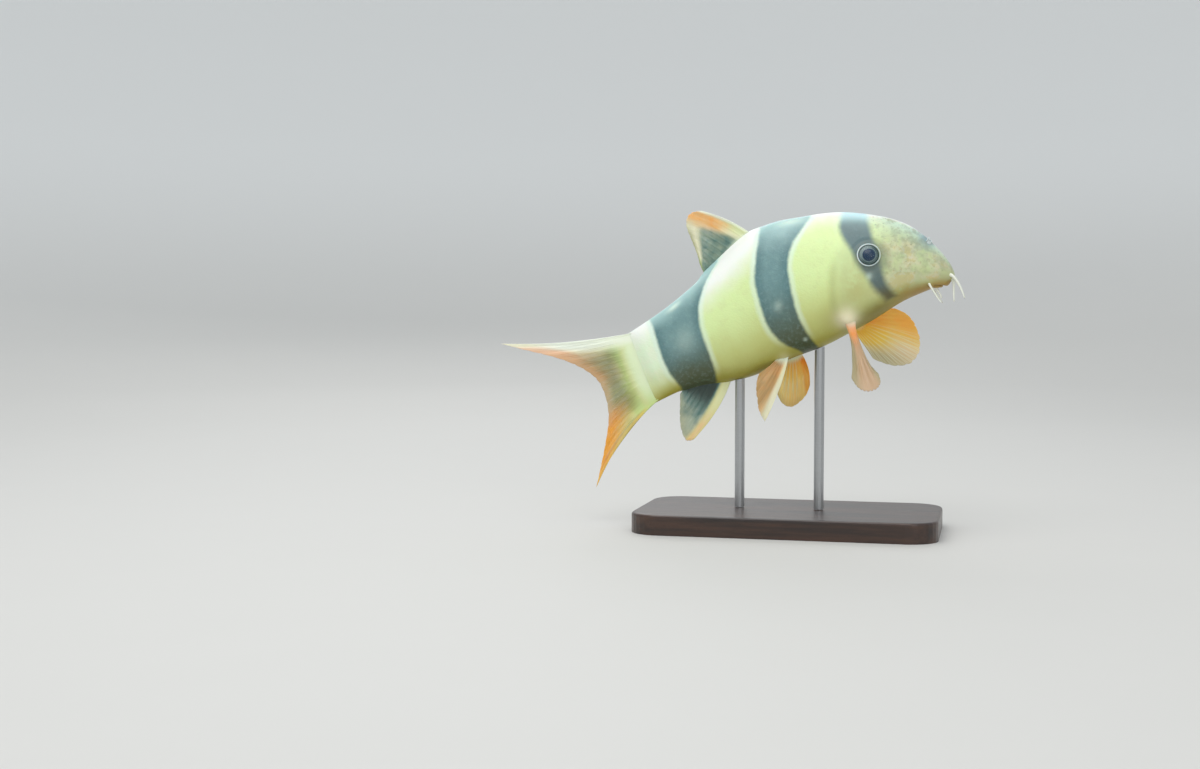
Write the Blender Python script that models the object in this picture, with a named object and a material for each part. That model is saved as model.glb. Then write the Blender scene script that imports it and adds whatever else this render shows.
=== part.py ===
"""A clown loach at life size, swimming above a flat display base on two short rods.

The fish faces +X, +Z is up, and the origin is the centre of the base's underside.
Sizes are in millimetres and become metres as each point is placed.
"""

import math

import bmesh
import bpy
import numpy as np
from mathutils import Matrix, Vector
from mathutils.bvhtree import BVHTree

MM = 0.001
# Clearance kept between pieces that touch.
GAP = 0.3
# The same clearance measured along the body, where a seam runs aslant.
SEAM = 0.5

# The body, from the tip of the snout to the root of the tail fin.
BODY_LENGTH = 128.0
# Cuts through the body, closer together at the snout: back x, back z, belly x, belly z, half width.
SECTIONS = (
    (64.3, 101.9, 64.3, 101.9, 0.0),
    (63.4, 104.6, 63.4, 99.9, 2.2),
    (60.8, 108.7, 61.0, 98.2, 4.2),
    (56.2, 113.8, 56.8, 96.8, 6.0),
    (49.6, 119.4, 50.8, 94.4, 7.8),
    (41.2, 123.5, 43.0, 90.6, 9.7),
    (30.6, 125.8, 33.8, 84.6, 11.5),
    (17.9, 126.7, 23.4, 78.7, 12.9),
    (3.0, 124.9, 12.0, 72.9, 13.7),
    (-13.6, 120.2, -1.8, 67.5, 13.1),
    (-30.6, 106.0, -17.5, 60.6, 10.8),
    (-49.0, 90.0, -37.0, 57.5, 7.0),
    (-68.2, 76.9, -56.6, 49.0, 1.9),
)
# How much fuller the flanks are below the middle than above it, from snout to tail.
LOW_FULLNESS = (0.30, 0.34, 0.26, 0.16, 0.0)

# The sweep of the tail to the fish's right: where it starts, its radius and its turn.
SWEEP_START = -40.0
SWEEP_RADIUS = 160.0
SWEEP_TURN = math.radians(14)

# Rear edge of the head at every eighth of the way from back to belly, from the snout.
GILL_EDGE = (40.5, 41.0, 41.5, 43.0, 45.0, 46.0, 44.5, 38.5, 32.5)
GILL_COVER_RISE = 0.6
GILL_COVER_REACH = 9.0
# The tail stem begins behind the anal fin.
STEM_START = 115.0
BODY_SIDES = 36

EYE_DISTANCE = 32.0
EYE_ANGLE = math.radians(78)
EYE_RADIUS = 4.8
EYE_DEPTH = 3.2
EYE_SINK = 1.9
EYE_RIM_RADIUS = 5.3
EYE_RIM_THICK = 0.55

# The mouth opens downwards: the place of its corners, and how far forward and sideways its lines reach.
MOUTH_X = 54.8
UPPER_LIP = (6.3, 4.4)
LOWER_LIP = (3.9, 3.9)
MOUTH_SLIT = (5.1, 4.15)
UPPER_LIP_RADIUS = 1.5
LOWER_LIP_RADIUS = 1.35
LIP_CORNER_RADIUS = 0.7
MOUTH_SLIT_RADIUS = 0.38

NOSTRIL_DISTANCE = 9.8
NOSTRIL_ANGLE = math.radians(33)
NOSTRIL_RADIUS = 0.8
NOSTRIL_BORE = 0.42
NOSTRIL_RISE = 1.0
NOSTRIL_FLAP = 0.55

# Half thickness of a fin's membrane at its root and margin, and how far its rays stand out of it.
FIN_ROOT = 0.6
FIN_MARGIN = 0.25
RAY_RISE = 0.3

# Feelers: half thickness at root and tip, and how many lengths each is made of.
BARBEL_ROOT = 0.6
BARBEL_TIP = 0.22
BARBEL_STEPS = 8

BASE_LENGTH = 120.0
BASE_WIDTH = 64.0
BASE_THICK = 8.0
BASE_CORNER = 12.0
BASE_EDGE = 1.0
ROD_RADIUS = 2.0
ROD_FRONT_X = 12.0
ROD_REAR_X = -20.0
# Height from which the rods are cut back to the belly.
ROD_TOP = 85.0


class Smooth:
    """A curve of even bend through a row of values or points, read from 0 to 1."""

    def __init__(self, points):
        self.points = np.array(points, dtype=float)
        self.last = len(points) - 1
        system = np.eye(len(points))
        wanted = np.zeros_like(self.points)
        for i in range(1, self.last):
            system[i, i - 1:i + 2] = (1, 4, 1)
            wanted[i] = 6 * (self.points[i + 1] - 2 * self.points[i] + self.points[i - 1])
        self.bends = np.linalg.solve(system, wanted)

    def __call__(self, share):
        place = min(max(share, 0.0), 1.0) * self.last
        i = min(int(place), self.last - 1)
        far = place - i
        near = 1 - far
        straight = near * self.points[i] + far * self.points[i + 1]
        return straight + ((near**3 - near) * self.bends[i] + (far**3 - far) * self.bends[i + 1]) / 6


section_at = Smooth(SECTIONS)
fullness_at = Smooth(LOW_FULLNESS)
gill_edge_at = Smooth(GILL_EDGE)


def ease(value, low, high):
    """0 below low, 1 above high, and an even rise between them."""
    share = min(max((value - low) / (high - low), 0.0), 1.0)
    return share * share * (3 - 2 * share)


def flesh(distance, angle):
    """Point of the body's surface, at a distance from the snout and an angle from the back, + to the left."""
    share = math.sqrt(max(distance, 0.0) / BODY_LENGTH)
    back_x, back_z, belly_x, belly_z, width = section_at(share)
    back = Vector((back_x, 0, back_z))
    belly = Vector((belly_x, 0, belly_z))
    turn = math.cos(angle)
    side = width * math.sin(angle) * (1 - fullness_at(share) * turn)
    return (back + belly) / 2 + (back - belly) / 2 * turn + Vector((0, side, 0))


def outward(distance, angle, step=0.02):
    """Direction out of the body's surface at a point."""
    along = flesh(distance + step, angle) - flesh(distance - step, angle)
    around = flesh(distance, angle + step) - flesh(distance, angle - step)
    return around.cross(along).normalized()


def placed(point):
    """A point in metres, carried along by the sweep of the tail."""
    behind = SWEEP_START - point.x
    if behind <= 0:
        return point * MM
    turn = min(behind / SWEEP_RADIUS, SWEEP_TURN)
    rest = behind - turn * SWEEP_RADIUS
    x = SWEEP_START - SWEEP_RADIUS * math.sin(turn) - rest * math.cos(turn) - point.y * math.sin(turn)
    y = -SWEEP_RADIUS * (1 - math.cos(turn)) - rest * math.sin(turn) + point.y * math.cos(turn)
    return Vector((x, y, point.z)) * MM


def material(name, colour, roughness, metallic=0.0):
    """A plain finish for one node."""
    finish = bpy.data.materials.new(name)
    finish.use_nodes = True
    shader = finish.node_tree.nodes["Principled BSDF"]
    shader.inputs["Base Color"].default_value = (*colour, 1.0)
    shader.inputs["Roughness"].default_value = roughness
    shader.inputs["Metallic"].default_value = metallic
    return finish


def add_object(name, shape, finish=None):
    """A named object from a bmesh, which is freed."""
    mesh = bpy.data.meshes.new(name)
    shape.to_mesh(mesh)
    shape.free()
    thing = bpy.data.objects.new(name, mesh)
    bpy.context.scene.collection.objects.link(thing)
    if finish:
        mesh.materials.append(finish)
    return thing


def bent_grid(columns, rows, surface):
    """A grid whose points go where surface(u, v) says, u and v from 0 to 1."""
    shape = bmesh.new()
    bmesh.ops.create_grid(shape, x_segments=columns, y_segments=rows, size=0.5)
    for vert in shape.verts:
        vert.co = placed(surface(vert.co.x + 0.5, vert.co.y + 0.5))
    return shape


def closed_length(columns, rows, surface):
    """A tube from a grid whose sides meet, with its ends filled to a middle point."""
    shape = bent_grid(columns, rows, surface)
    bmesh.ops.remove_doubles(shape, verts=shape.verts[:], dist=0.001 * MM)
    rim = [edge for edge in shape.edges if edge.is_boundary]
    ends = bmesh.ops.holes_fill(shape, edges=rim, sides=0)["faces"]
    bmesh.ops.poke(shape, faces=ends)
    bmesh.ops.triangulate(shape, faces=shape.faces[:])
    bmesh.ops.recalc_face_normals(shape, faces=shape.faces[:])
    return shape


def side_angle(u):
    """Angle round the body for a share of a full turn."""
    return (u - 0.5) * math.tau


def head_surface(u, v):
    """The head: snout to gill edge, with the gill cover standing proud at its rear edge."""
    angle = side_angle(u)
    turn = abs(angle) / math.pi
    edge = float(gill_edge_at(turn))
    distance = edge * v**1.5
    point = flesh(distance, angle)
    cover = ease(distance, edge - GILL_COVER_REACH, edge - 1.0)
    cover *= ease(turn, 0.26, 0.42) * (1 - ease(turn, 0.74, 0.86))
    if cover > 0:
        point += outward(distance, angle) * cover * GILL_COVER_RISE
    return point


def torso_surface(u, v):
    """The trunk: gill edge to the rear of the anal fin."""
    angle = side_angle(u)
    start = float(gill_edge_at(abs(angle) / math.pi)) + SEAM
    return flesh(start + (STEM_START - start) * v, angle)


def stem_surface(u, v):
    """The tail stem, down to the root of the tail fin."""
    start = STEM_START + SEAM
    return flesh(start + (BODY_LENGTH - start) * v, side_angle(u))


def whole_body(growth):
    """The whole body in one length, grown on every side, for cutting what stands on it."""
    rows = 56
    shape = closed_length(BODY_SIDES, rows, lambda u, v: flesh(BODY_LENGTH * v**1.5, side_angle(u)))
    moves = {vert: vert.normal * growth * MM for vert in shape.verts}
    for vert, move in moves.items():
        vert.co += move
    return shape


def hide_cutter(thing):
    """Marks a helper that takes no part in the finished model."""
    thing.hide_render = True
    thing.display_type = "WIRE"


def largest_surface(shape):
    """Keeps only the largest closed surface of a mesh, by the size of its box."""
    waiting = set(shape.faces)
    surfaces = []
    while waiting:
        surface = set()
        edge_on = [waiting.pop()]
        while edge_on:
            face = edge_on.pop()
            surface.add(face)
            for edge in face.edges:
                for other in edge.link_faces:
                    if other in waiting:
                        waiting.discard(other)
                        edge_on.append(other)
        surfaces.append(surface)
    if len(surfaces) > 1:
        def reach(surface):
            points = [vert.co for face in surface for vert in face.verts]
            return (Vector(map(max, zip(*points))) - Vector(map(min, zip(*points)))).length
        best = max(surfaces, key=reach)
        scraps = [face for surface in surfaces if surface is not best for face in surface]
        bmesh.ops.delete(shape, geom=scraps, context="FACES")


def shaped(thing, operation, helpers):
    """Joins closed helpers to a thing or cuts it with them, and removes the helpers."""
    group = bpy.data.collections.new(thing.name + "_helpers")
    bpy.context.scene.collection.children.link(group)
    for helper in helpers:
        hide_cutter(helper)
        bpy.context.scene.collection.objects.unlink(helper)
        group.objects.link(helper)
    change = thing.modifiers.new("shape", "BOOLEAN")
    change.operation = operation
    change.operand_type = "COLLECTION"
    change.collection = group
    bpy.context.view_layer.update()
    result = bmesh.new()
    result.from_object(thing, bpy.context.evaluated_depsgraph_get())
    thing.modifiers.clear()
    for helper in helpers:
        bpy.data.objects.remove(helper)
    bpy.data.collections.remove(group)
    bmesh.ops.triangulate(result, faces=result.faces[:])
    largest_surface(result)
    result.to_mesh(thing.data)
    result.free()


def smooth_shade(thing, sharp=35):
    """Smooth shading with a crease where the faces turn sharply."""
    thing.data.shade_smooth()
    thing.data.set_sharp_from_angle(angle=math.radians(sharp))


def rod(name, points, radii, loop=False, sides=2, finish=None):
    """A round rod through placed points, with filled ends, as a mesh object."""
    line = bpy.data.curves.new(name, "CURVE")
    line.dimensions = "3D"
    line.bevel_depth = 1.0
    line.bevel_resolution = sides
    line.use_fill_caps = True
    run = line.splines.new("POLY")
    run.points.add(len(points) - 1)
    run.use_cyclic_u = loop
    for spot, point, radius in zip(run.points, points, radii):
        spot.co = (*point, 1.0)
        spot.radius = radius * MM
    guide = bpy.data.objects.new(name + "_line", line)
    bpy.context.scene.collection.objects.link(guide)
    bpy.context.view_layer.update()
    shape = bmesh.new()
    seen = guide.evaluated_get(bpy.context.evaluated_depsgraph_get())
    shape.from_mesh(seen.to_mesh())
    bpy.data.objects.remove(guide)
    bpy.data.curves.remove(line)
    bmesh.ops.remove_doubles(shape, verts=shape.verts[:], dist=0.001 * MM)
    bmesh.ops.triangulate(shape, faces=shape.faces[:])
    bmesh.ops.recalc_face_normals(shape, faces=shape.faces[:])
    return add_object(name, shape, finish)


def surface_frame(distance, angle, sink):
    """A turn and a place: local Z leaves the body, the origin lies under its surface."""
    normal = outward(distance, angle)
    forward = (flesh(distance - 0.1, angle) - flesh(distance + 0.1, angle)).normalized()
    across = normal.cross(forward).normalized()
    frame = Matrix((across.cross(normal), across, normal)).transposed().to_4x4()
    frame.translation = flesh(distance, angle) - normal * sink
    return frame


def eyeball(name, side, growth=0.0, finish=None):
    """A flattened ball set into the side of the head."""
    frame = surface_frame(EYE_DISTANCE, side * EYE_ANGLE, EYE_SINK)
    shape = bmesh.new()
    bmesh.ops.create_uvsphere(shape, u_segments=20, v_segments=10, radius=1.0)
    for vert in shape.verts:
        point = vert.co * (EYE_RADIUS + growth)
        point.z = vert.co.z * (EYE_DEPTH + growth)
        vert.co = placed(frame @ point)
    bmesh.ops.triangulate(shape, faces=shape.faces[:])
    return add_object(name, shape, finish)


def mouth_line(reach, sink, half_turn, turns=14):
    """Points of an arc round the mouth, open to the rear, on the underside of the snout."""
    points = []
    for i in range(turns + 1):
        phase = math.radians(half_turn * (2 * i / turns - 1))
        x = MOUTH_X + reach[0] * math.cos(phase)
        y = reach[1] * math.sin(phase)
        distance = SECTIONS[0][0] - x
        low, high = math.pi / 2, math.pi
        for _ in range(24):
            middle = (low + high) / 2
            if flesh(distance, middle).y > abs(y):
                low = middle
            else:
                high = middle
        angle = math.copysign(high, y)
        points.append(flesh(distance, angle) - outward(distance, angle) * sink)
    return points


def make_head():
    """Head with gill covers, eye rims and sockets, lips, mouth line and nostrils."""
    finish = material("head_skin", (0.62, 0.58, 0.42), 0.35)
    head = add_object("head", closed_length(BODY_SIDES, 28, head_surface), finish)
    added = []
    cut = []
    for side in (-1, 1):
        frame = surface_frame(EYE_DISTANCE, side * EYE_ANGLE, 0.1)
        rim = [
            placed(frame @ Vector((EYE_RIM_RADIUS * math.cos(a), EYE_RIM_RADIUS * math.sin(a), -0.35)))
            for a in (math.tau * i / 28 for i in range(28))
        ]
        added.append(rod("rim", rim, [EYE_RIM_THICK] * len(rim), loop=True))
        cut.append(eyeball("socket", side, GAP))
        frame = surface_frame(NOSTRIL_DISTANCE, side * NOSTRIL_ANGLE, 0.0)
        tube = [placed(frame @ Vector((0, 0, z))) for z in (-1.2, 0.2, NOSTRIL_RISE)]
        added.append(rod("nostril", tube, [NOSTRIL_RADIUS * 1.5, NOSTRIL_RADIUS * 1.15, NOSTRIL_RADIUS], sides=3))
        flap = [placed(frame @ Vector((-0.75 - 0.25 * z, 0, z))) for z in (-1.2, 0.5, NOSTRIL_RISE + 0.5)]
        added.append(rod("flap", flap, [NOSTRIL_FLAP * 1.4, NOSTRIL_FLAP, NOSTRIL_FLAP * 0.5], sides=2))
        bore = [placed(frame @ Vector((0.15, 0, z))) for z in (-0.9, NOSTRIL_RISE + 1)]
        cut.append(rod("bore", bore, [NOSTRIL_BORE] * 2))
    lips = (
        ("upper_lip", UPPER_LIP, UPPER_LIP_RADIUS, 0.6),
        ("lower_lip", LOWER_LIP, LOWER_LIP_RADIUS, 0.6),
    )
    for name, reach, thick, sink in lips:
        line = [placed(point) for point in mouth_line(reach, sink, 88)]
        radii = [
            LIP_CORNER_RADIUS + (thick - LIP_CORNER_RADIUS) * math.sin(math.pi * i / (len(line) - 1)) ** 0.7
            for i in range(len(line))
        ]
        added.append(rod(name, line, radii, sides=2))
    slit = [placed(point) for point in mouth_line(MOUTH_SLIT, -0.1, 70)]
    cut.append(rod("slit", slit, [MOUTH_SLIT_RADIUS] * len(slit), sides=1))
    shaped(head, "UNION", added)
    shaped(head, "DIFFERENCE", cut)
    smooth_shade(head)
    return head


def make_body_lengths():
    """Torso and tail stem."""
    torso_finish = material("torso_skin", (0.66, 0.70, 0.38), 0.35)
    stem_finish = material("tail_stem_skin", (0.85, 0.85, 0.75), 0.3)
    torso = add_object("torso", closed_length(BODY_SIDES, 24, torso_surface), torso_finish)
    stem = add_object("tail_stem", closed_length(BODY_SIDES, 7, stem_surface), stem_finish)
    smooth_shade(torso)
    smooth_shade(stem)


def fan(root, margin, lead_bow, belly):
    """A fin's middle surface: rays from a root line to a margin, s across the rays and t along them."""
    root_line = Smooth(root)
    margin_line = Smooth(margin)
    lead = Vector(lead_bow)
    cup = Vector(belly)

    def sheet(s, t):
        foot = Vector(root_line(s))
        tip = Vector(margin_line(s))
        bow = lead * (1 - s) ** 2 * 4 * t * (1 - t)
        return foot.lerp(tip, t) + bow + cup * math.sin(math.pi * s) * math.sin(math.pi * t / 2)

    return sheet


def fin_half(s, t, rays):
    """Half the thickness of a fin at a point: thinner to the margin, with a ridge along each ray."""
    web = FIN_ROOT + (FIN_MARGIN - FIN_ROOT) * min(1.0, t * 1.6)
    crest = abs(math.cos(math.pi * s * rays))
    return web + RAY_RISE * crest * (1 - 0.6 * t)


def fin_mesh(rays, rows, sheet, half):
    """A thin closed fin, split into like triangles on both faces."""
    shape = bmesh.new()
    bmesh.ops.create_grid(shape, x_segments=2 * rays, y_segments=rows, size=0.5)
    bmesh.ops.triangulate(shape, faces=shape.faces[:])
    grown = bmesh.ops.extrude_face_region(shape, geom=shape.faces[:], use_keep_orig=True)
    left = {item for item in grown["geom"] if isinstance(item, bmesh.types.BMVert)}
    step = 0.01
    for vert in shape.verts:
        s = vert.co.x + 0.5
        t = vert.co.y + 0.5
        low_s, high_s = max(s - step, 0), min(s + step, 1)
        low_t, high_t = max(t - step, 0), min(t + step, 1)
        across = sheet(high_s, t) - sheet(low_s, t)
        along = sheet(s, high_t) - sheet(s, low_t)
        normal = across.cross(along).normalized()
        offset = half(s, t, rays) if vert in left else -half(s, t, rays)
        vert.co = placed(sheet(s, t) + normal * offset)
    bmesh.ops.triangulate(shape, faces=shape.faces[:])
    bmesh.ops.recalc_face_normals(shape, faces=shape.faces[:])
    return shape


def make_fin(name, rays, rows, sheet, finish, half=fin_half, cut=True):
    """A fin node, its root cut to the body."""
    fin = add_object(name, fin_mesh(rays, rows, sheet, half), finish)
    if cut:
        shaped(fin, "DIFFERENCE", [add_object("cutter", whole_body(GAP))])
    smooth_shade(fin)


def make_dorsal_fin():
    """The fin on the back, raised, with its rays swept to the rear."""
    root = [flesh(73.5 + 19.6 * s, 0) + Vector((0.9, 0, -1.6)) for s in (0, 0.25, 0.5, 0.75, 1)]
    margin = (
        (-36.5, 0, 127.9), (-40.4, 0, 127.2), (-42.4, 0, 123.9), (-41.6, 0, 119.5),
        (-39.6, 0, 114.8), (-37.8, 0, 110.5), (-36.6, 0, 106.4),
    )
    sheet = fan(root, margin, (-0.4, 0, 1.7), (0, 0.6, 0))
    make_fin("dorsal_fin", 11, 10, sheet, material("dorsal_fin_skin", (0.85, 0.5, 0.25), 0.4))


def make_anal_fin():
    """The fin behind the vent, swept to the rear."""
    root = [flesh(94.8 + 18.4 * s, math.pi) + Vector((0.4, 0, 1.6)) for s in (0, 0.25, 0.5, 0.75, 1)]
    margin = (
        (-39.0, 0, 35.2), (-42.2, 0, 34.9), (-44.2, 0, 39.0), (-44.8, 0, 44.0),
        (-44.7, 0, 49.0), (-44.6, 0, 53.6),
    )
    sheet = fan(root, margin, (1.6, 0, -1.0), (0, 0.5, 0))
    make_fin("anal_fin", 8, 10, sheet, material("anal_fin_skin", (0.6, 0.45, 0.3), 0.4))


def make_tail_fin():
    """The two lobes of the forked tail fin, set face to face with the end of the tail stem."""
    back_x, back_z, belly_x, belly_z, width = section_at(1.0)
    middle = Vector(((back_x + belly_x) / 2, 0, (back_z + belly_z) / 2))
    reach = Vector(((back_x - belly_x) / 2, 0, (back_z - belly_z) / 2))
    clear = Vector((-GAP, 0, 0))
    part = 0.012
    lobes = {
        "tail_fin_upper": (1, (
            (-118.3, 0, 74.2), (-109.0, 0, 71.7), (-100.5, 0, 69.7), (-92.5, 0, 67.4),
            (-85.8, 0, 64.5), (-81.0, 0, 61.6), (-77.6, 0, 58.7),
        ), (0, 0, -0.6)),
        "tail_fin_lower": (-1, (
            (-79.2, 0, 14.3), (-77.5, 0, 22.0), (-76.0, 0, 29.5), (-74.8, 0, 36.5),
            (-74.1, 0, 43.5), (-74.6, 0, 50.5), (-77.4, 0, 58.3),
        ), (-1.5, 0, 1.1)),
    }
    for name, (side, margin, lead_bow) in lobes.items():
        heights = [side * (1 - (1 - part) * s) for s in (0, 0.25, 0.5, 0.75, 1)]
        root = [middle + reach * height + clear for height in heights]
        sheet = fan(root, margin, lead_bow, (0, -0.8 * side, 0))

        def half(s, t, rays):
            height = 1 - (1 - part) * s
            stem = width * math.sqrt(max(1 - height * height, 0.0))
            thin = fin_half(s, t, rays)
            return thin + max(stem - thin, 0.0) * (1 - ease(t, 0.0, 0.45))

        make_fin(name, 10, 16, sheet, material(name + "_skin", (0.85, 0.55, 0.3), 0.4), half, cut=False)


def make_paired_fins():
    """Pelvic and pectoral fins: the right ones folded and beating down, the left ones spread."""
    pelvic = material("pelvic_fin_skin", (0.85, 0.5, 0.25), 0.4)
    pectoral = material("pectoral_fin_skin", (0.85, 0.5, 0.3), 0.4)
    fins = (
        ("pelvic_fin_right", 8, 10, pelvic, ((0.2, -4.2, 70.2), (-2.0, -4.6, 69.4), (-4.2, -4.8, 68.4)), (
            (-9.0, -10.2, 44.2), (-10.6, -10.9, 47.5), (-11.6, -11.4, 53.0),
            (-12.0, -11.2, 58.0), (-11.0, -9.8, 62.6),
        ), (1.2, 0, 0), (0.4, -0.6, 0)),
        ("pelvic_fin_left", 8, 10, pelvic, ((3.6, 4.2, 71.4), (1.0, 4.6, 70.4), (-1.8, 4.8, 69.2)), (
            (6.8, 10.8, 57.4), (5.2, 11.8, 53.4), (2.2, 12.2, 49.8), (-1.2, 12.2, 48.2),
            (-4.6, 11.8, 50.2), (-6.6, 10.8, 54.5),
        ), (1.4, 0, 0), (0, 0.8, 0)),
        ("pectoral_fin_right", 10, 10, pectoral, ((27.6, -6.0, 84.2), (25.8, -6.6, 84.2), (24.0, -7.0, 84.4)), (
            (38.6, -19.8, 60.6), (36.0, -20.4, 57.8), (32.4, -20.6, 57.0), (28.6, -20.2, 58.4),
            (25.6, -18.6, 62.5),
        ), (1.2, 0, 1.2), (0, -1.2, 0)),
        ("pectoral_fin_left", 11, 10, pectoral, ((29.2, 7.0, 85.2), (28.2, 6.8, 83.4), (27.2, 6.5, 81.8)), (
            (40.8, 16.4, 88.4), (45.6, 19.0, 85.6), (48.8, 20.8, 79.8), (49.6, 21.2, 73.4),
            (46.0, 20.4, 67.9), (39.4, 18.2, 67.0), (32.6, 15.0, 69.6),
        ), (-0.4, 0, 1.0), (0, 1.0, 0)),
    )
    for name, rays, rows, finish, root, margin, lead_bow, belly in fins:
        sheet = fan(root, margin, lead_bow, belly)
        make_fin(name, rays, rows, sheet, finish.copy())


def make_eyes():
    """The two eyes, in their sockets."""
    finish = material("eye_skin", (0.12, 0.16, 0.2), 0.08)
    for name, side in (("eye_right", -1), ("eye_left", 1)):
        smooth_shade(eyeball(name, side, finish=finish.copy()), 60)


def make_barbels(head):
    """Four feelers on each side of the mouth, each starting just off the skin."""
    shape = bmesh.new()
    shape.from_mesh(head.data)
    skin = BVHTree.FromBMesh(shape)
    shape.free()
    finish = material("barbel_skin", (0.9, 0.82, 0.7), 0.4)
    # Root as distance from the snout and angle, then two more points on the way to the tip.
    barbels = {
        "barbel_rostral_outer": (1.5, 112, ((66.3, 4.3, 97.2), (68.0, 5.0, 92.8))),
        "barbel_rostral_inner": (1.3, 146, ((64.0, 2.4, 95.9), (63.6, 2.6, 92.2))),
        "barbel_maxillary": (10.0, 141, ((57.4, 6.9, 94.0), (59.4, 7.6, 90.8))),
        "barbel_mandibular": (7.6, 163, ((58.7, 2.8, 94.4), (59.2, 3.2, 92.6))),
    }
    for name, (distance, degrees, way) in barbels.items():
        angle = math.radians(degrees)
        root = flesh(distance, angle)
        normal = outward(distance, angle)
        line = Smooth([root - normal * 1.2, root + normal * 1.6] + [Vector(point) for point in way])
        for side_name, side in (("right", -1), ("left", 1)):
            def spot(share):
                x, y, z = line(share)
                return placed(Vector((x, side * y, z)))

            inside = [i for i in range(200) if skin.find_nearest(spot(i / 400))[3] < (GAP + 0.05) * MM]
            start = (max(inside) + 1) / 400
            shares = [start + (1 - start) * i / BARBEL_STEPS for i in range(BARBEL_STEPS + 1)]
            points = [spot(share) for share in shares]
            radii = [BARBEL_ROOT + (BARBEL_TIP - BARBEL_ROOT) * i / BARBEL_STEPS for i in range(len(shares))]
            thing = rod(f"{name}_{side_name}", points, radii, sides=1, finish=finish.copy())
            smooth_shade(thing, 60)


def make_stand():
    """A flat base with rounded corners, and two rods up to the belly."""
    wood = material("stand_wood", (0.10, 0.06, 0.04), 0.5)
    steel = material("stand_steel", (0.7, 0.7, 0.7), 0.3, 1.0)
    shape = bmesh.new()
    bmesh.ops.create_cube(shape, size=1.0)
    bmesh.ops.scale(shape, vec=Vector((BASE_LENGTH, BASE_WIDTH, BASE_THICK)) * MM, verts=shape.verts[:])
    bmesh.ops.translate(shape, vec=(0, 0, BASE_THICK / 2 * MM), verts=shape.verts[:])
    posts = [edge for edge in shape.edges if abs(edge.verts[0].co.z - edge.verts[1].co.z) > MM]
    bmesh.ops.bevel(shape, geom=posts, offset=BASE_CORNER * MM, segments=8, profile=0.5,
                    affect="EDGES", material=-1)
    top = [edge for edge in shape.edges if min(vert.co.z for vert in edge.verts) > (BASE_THICK - 0.1) * MM]
    bmesh.ops.bevel(shape, geom=top, offset=BASE_EDGE * MM, segments=3, profile=0.5,
                    affect="EDGES", material=-1)
    bmesh.ops.triangulate(shape, faces=shape.faces[:])
    smooth_shade(add_object("stand_base", shape, wood), 30)
    for name, x in (("stand_rod_front", ROD_FRONT_X), ("stand_rod_rear", ROD_REAR_X)):
        ends = [placed(Vector((x, 0, z))) for z in (BASE_THICK + GAP, ROD_TOP)]
        post = rod(name, ends, [ROD_RADIUS] * 2, sides=4, finish=steel.copy())
        shaped(post, "DIFFERENCE", [add_object("cutter", whole_body(GAP))])
        smooth_shade(post, 40)


def main():
    for thing in list(bpy.data.objects):
        bpy.data.objects.remove(thing)
    head = make_head()
    make_body_lengths()
    make_eyes()
    make_dorsal_fin()
    make_anal_fin()
    make_tail_fin()
    make_paired_fins()
    make_barbels(head)
    make_stand()


main()
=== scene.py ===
"""The looks of a clown loach at life size, swimming above a flat display base on two short rods.

The fish faces +X and +Z is up. Shapes are worked out in millimetres, as in the part's source, and become
metres as their points are placed.
"""

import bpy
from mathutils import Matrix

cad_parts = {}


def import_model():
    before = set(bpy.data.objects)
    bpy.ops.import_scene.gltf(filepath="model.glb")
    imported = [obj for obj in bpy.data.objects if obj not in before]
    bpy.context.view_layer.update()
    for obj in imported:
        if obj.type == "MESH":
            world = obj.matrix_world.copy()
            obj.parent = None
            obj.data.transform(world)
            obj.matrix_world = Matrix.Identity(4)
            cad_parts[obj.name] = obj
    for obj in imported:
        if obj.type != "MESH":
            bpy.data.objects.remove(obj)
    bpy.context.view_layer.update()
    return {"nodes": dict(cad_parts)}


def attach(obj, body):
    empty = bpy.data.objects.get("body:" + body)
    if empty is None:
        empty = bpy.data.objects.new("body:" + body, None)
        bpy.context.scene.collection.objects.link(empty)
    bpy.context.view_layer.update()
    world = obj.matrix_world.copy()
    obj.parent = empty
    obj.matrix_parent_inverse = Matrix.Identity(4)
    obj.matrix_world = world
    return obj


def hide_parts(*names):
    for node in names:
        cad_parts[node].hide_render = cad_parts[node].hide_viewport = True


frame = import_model()

import math

import bmesh
import bpy
import numpy as np
from bpy.props import FloatProperty, FloatVectorProperty, IntProperty, PointerProperty
from bpy.types import Operator, Panel, PropertyGroup
from mathutils import Vector

bl_info = {
    "name": "Clown loach on a stand",
    "version": (1, 0, 0),
    "blender": (4, 5, 0),
    "location": "3D View > Sidebar > Loach",
    "description": "Skin, eyes, fins, feelers and stand finishes of a life-size clown loach",
    "category": "Object",
}

MM = 0.001
# Stands for a distance too far to matter, in millimetres.
FAR = 99.0
# Both sides of the fish, and the way that Y runs on each.
SIDES = (("right", -1), ("left", 1))

# The body, from the tip of the snout to the root of the tail fin.
BODY_LENGTH = 128.0
# Cuts through the body, closer together at the snout: back x, back z, belly x, belly z, half width.
SECTIONS = (
    (64.3, 101.9, 64.3, 101.9, 0.0),
    (63.4, 104.6, 63.4, 99.9, 2.2),
    (60.8, 108.7, 61.0, 98.2, 4.2),
    (56.2, 113.8, 56.8, 96.8, 6.0),
    (49.6, 119.4, 50.8, 94.4, 7.8),
    (41.2, 123.5, 43.0, 90.6, 9.7),
    (30.6, 125.8, 33.8, 84.6, 11.5),
    (17.9, 126.7, 23.4, 78.7, 12.9),
    (3.0, 124.9, 12.0, 72.9, 13.7),
    (-13.6, 120.2, -1.8, 67.5, 13.1),
    (-30.6, 106.0, -17.5, 60.6, 10.8),
    (-49.0, 90.0, -37.0, 57.5, 7.0),
    (-68.2, 76.9, -56.6, 49.0, 1.9),
)
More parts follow.
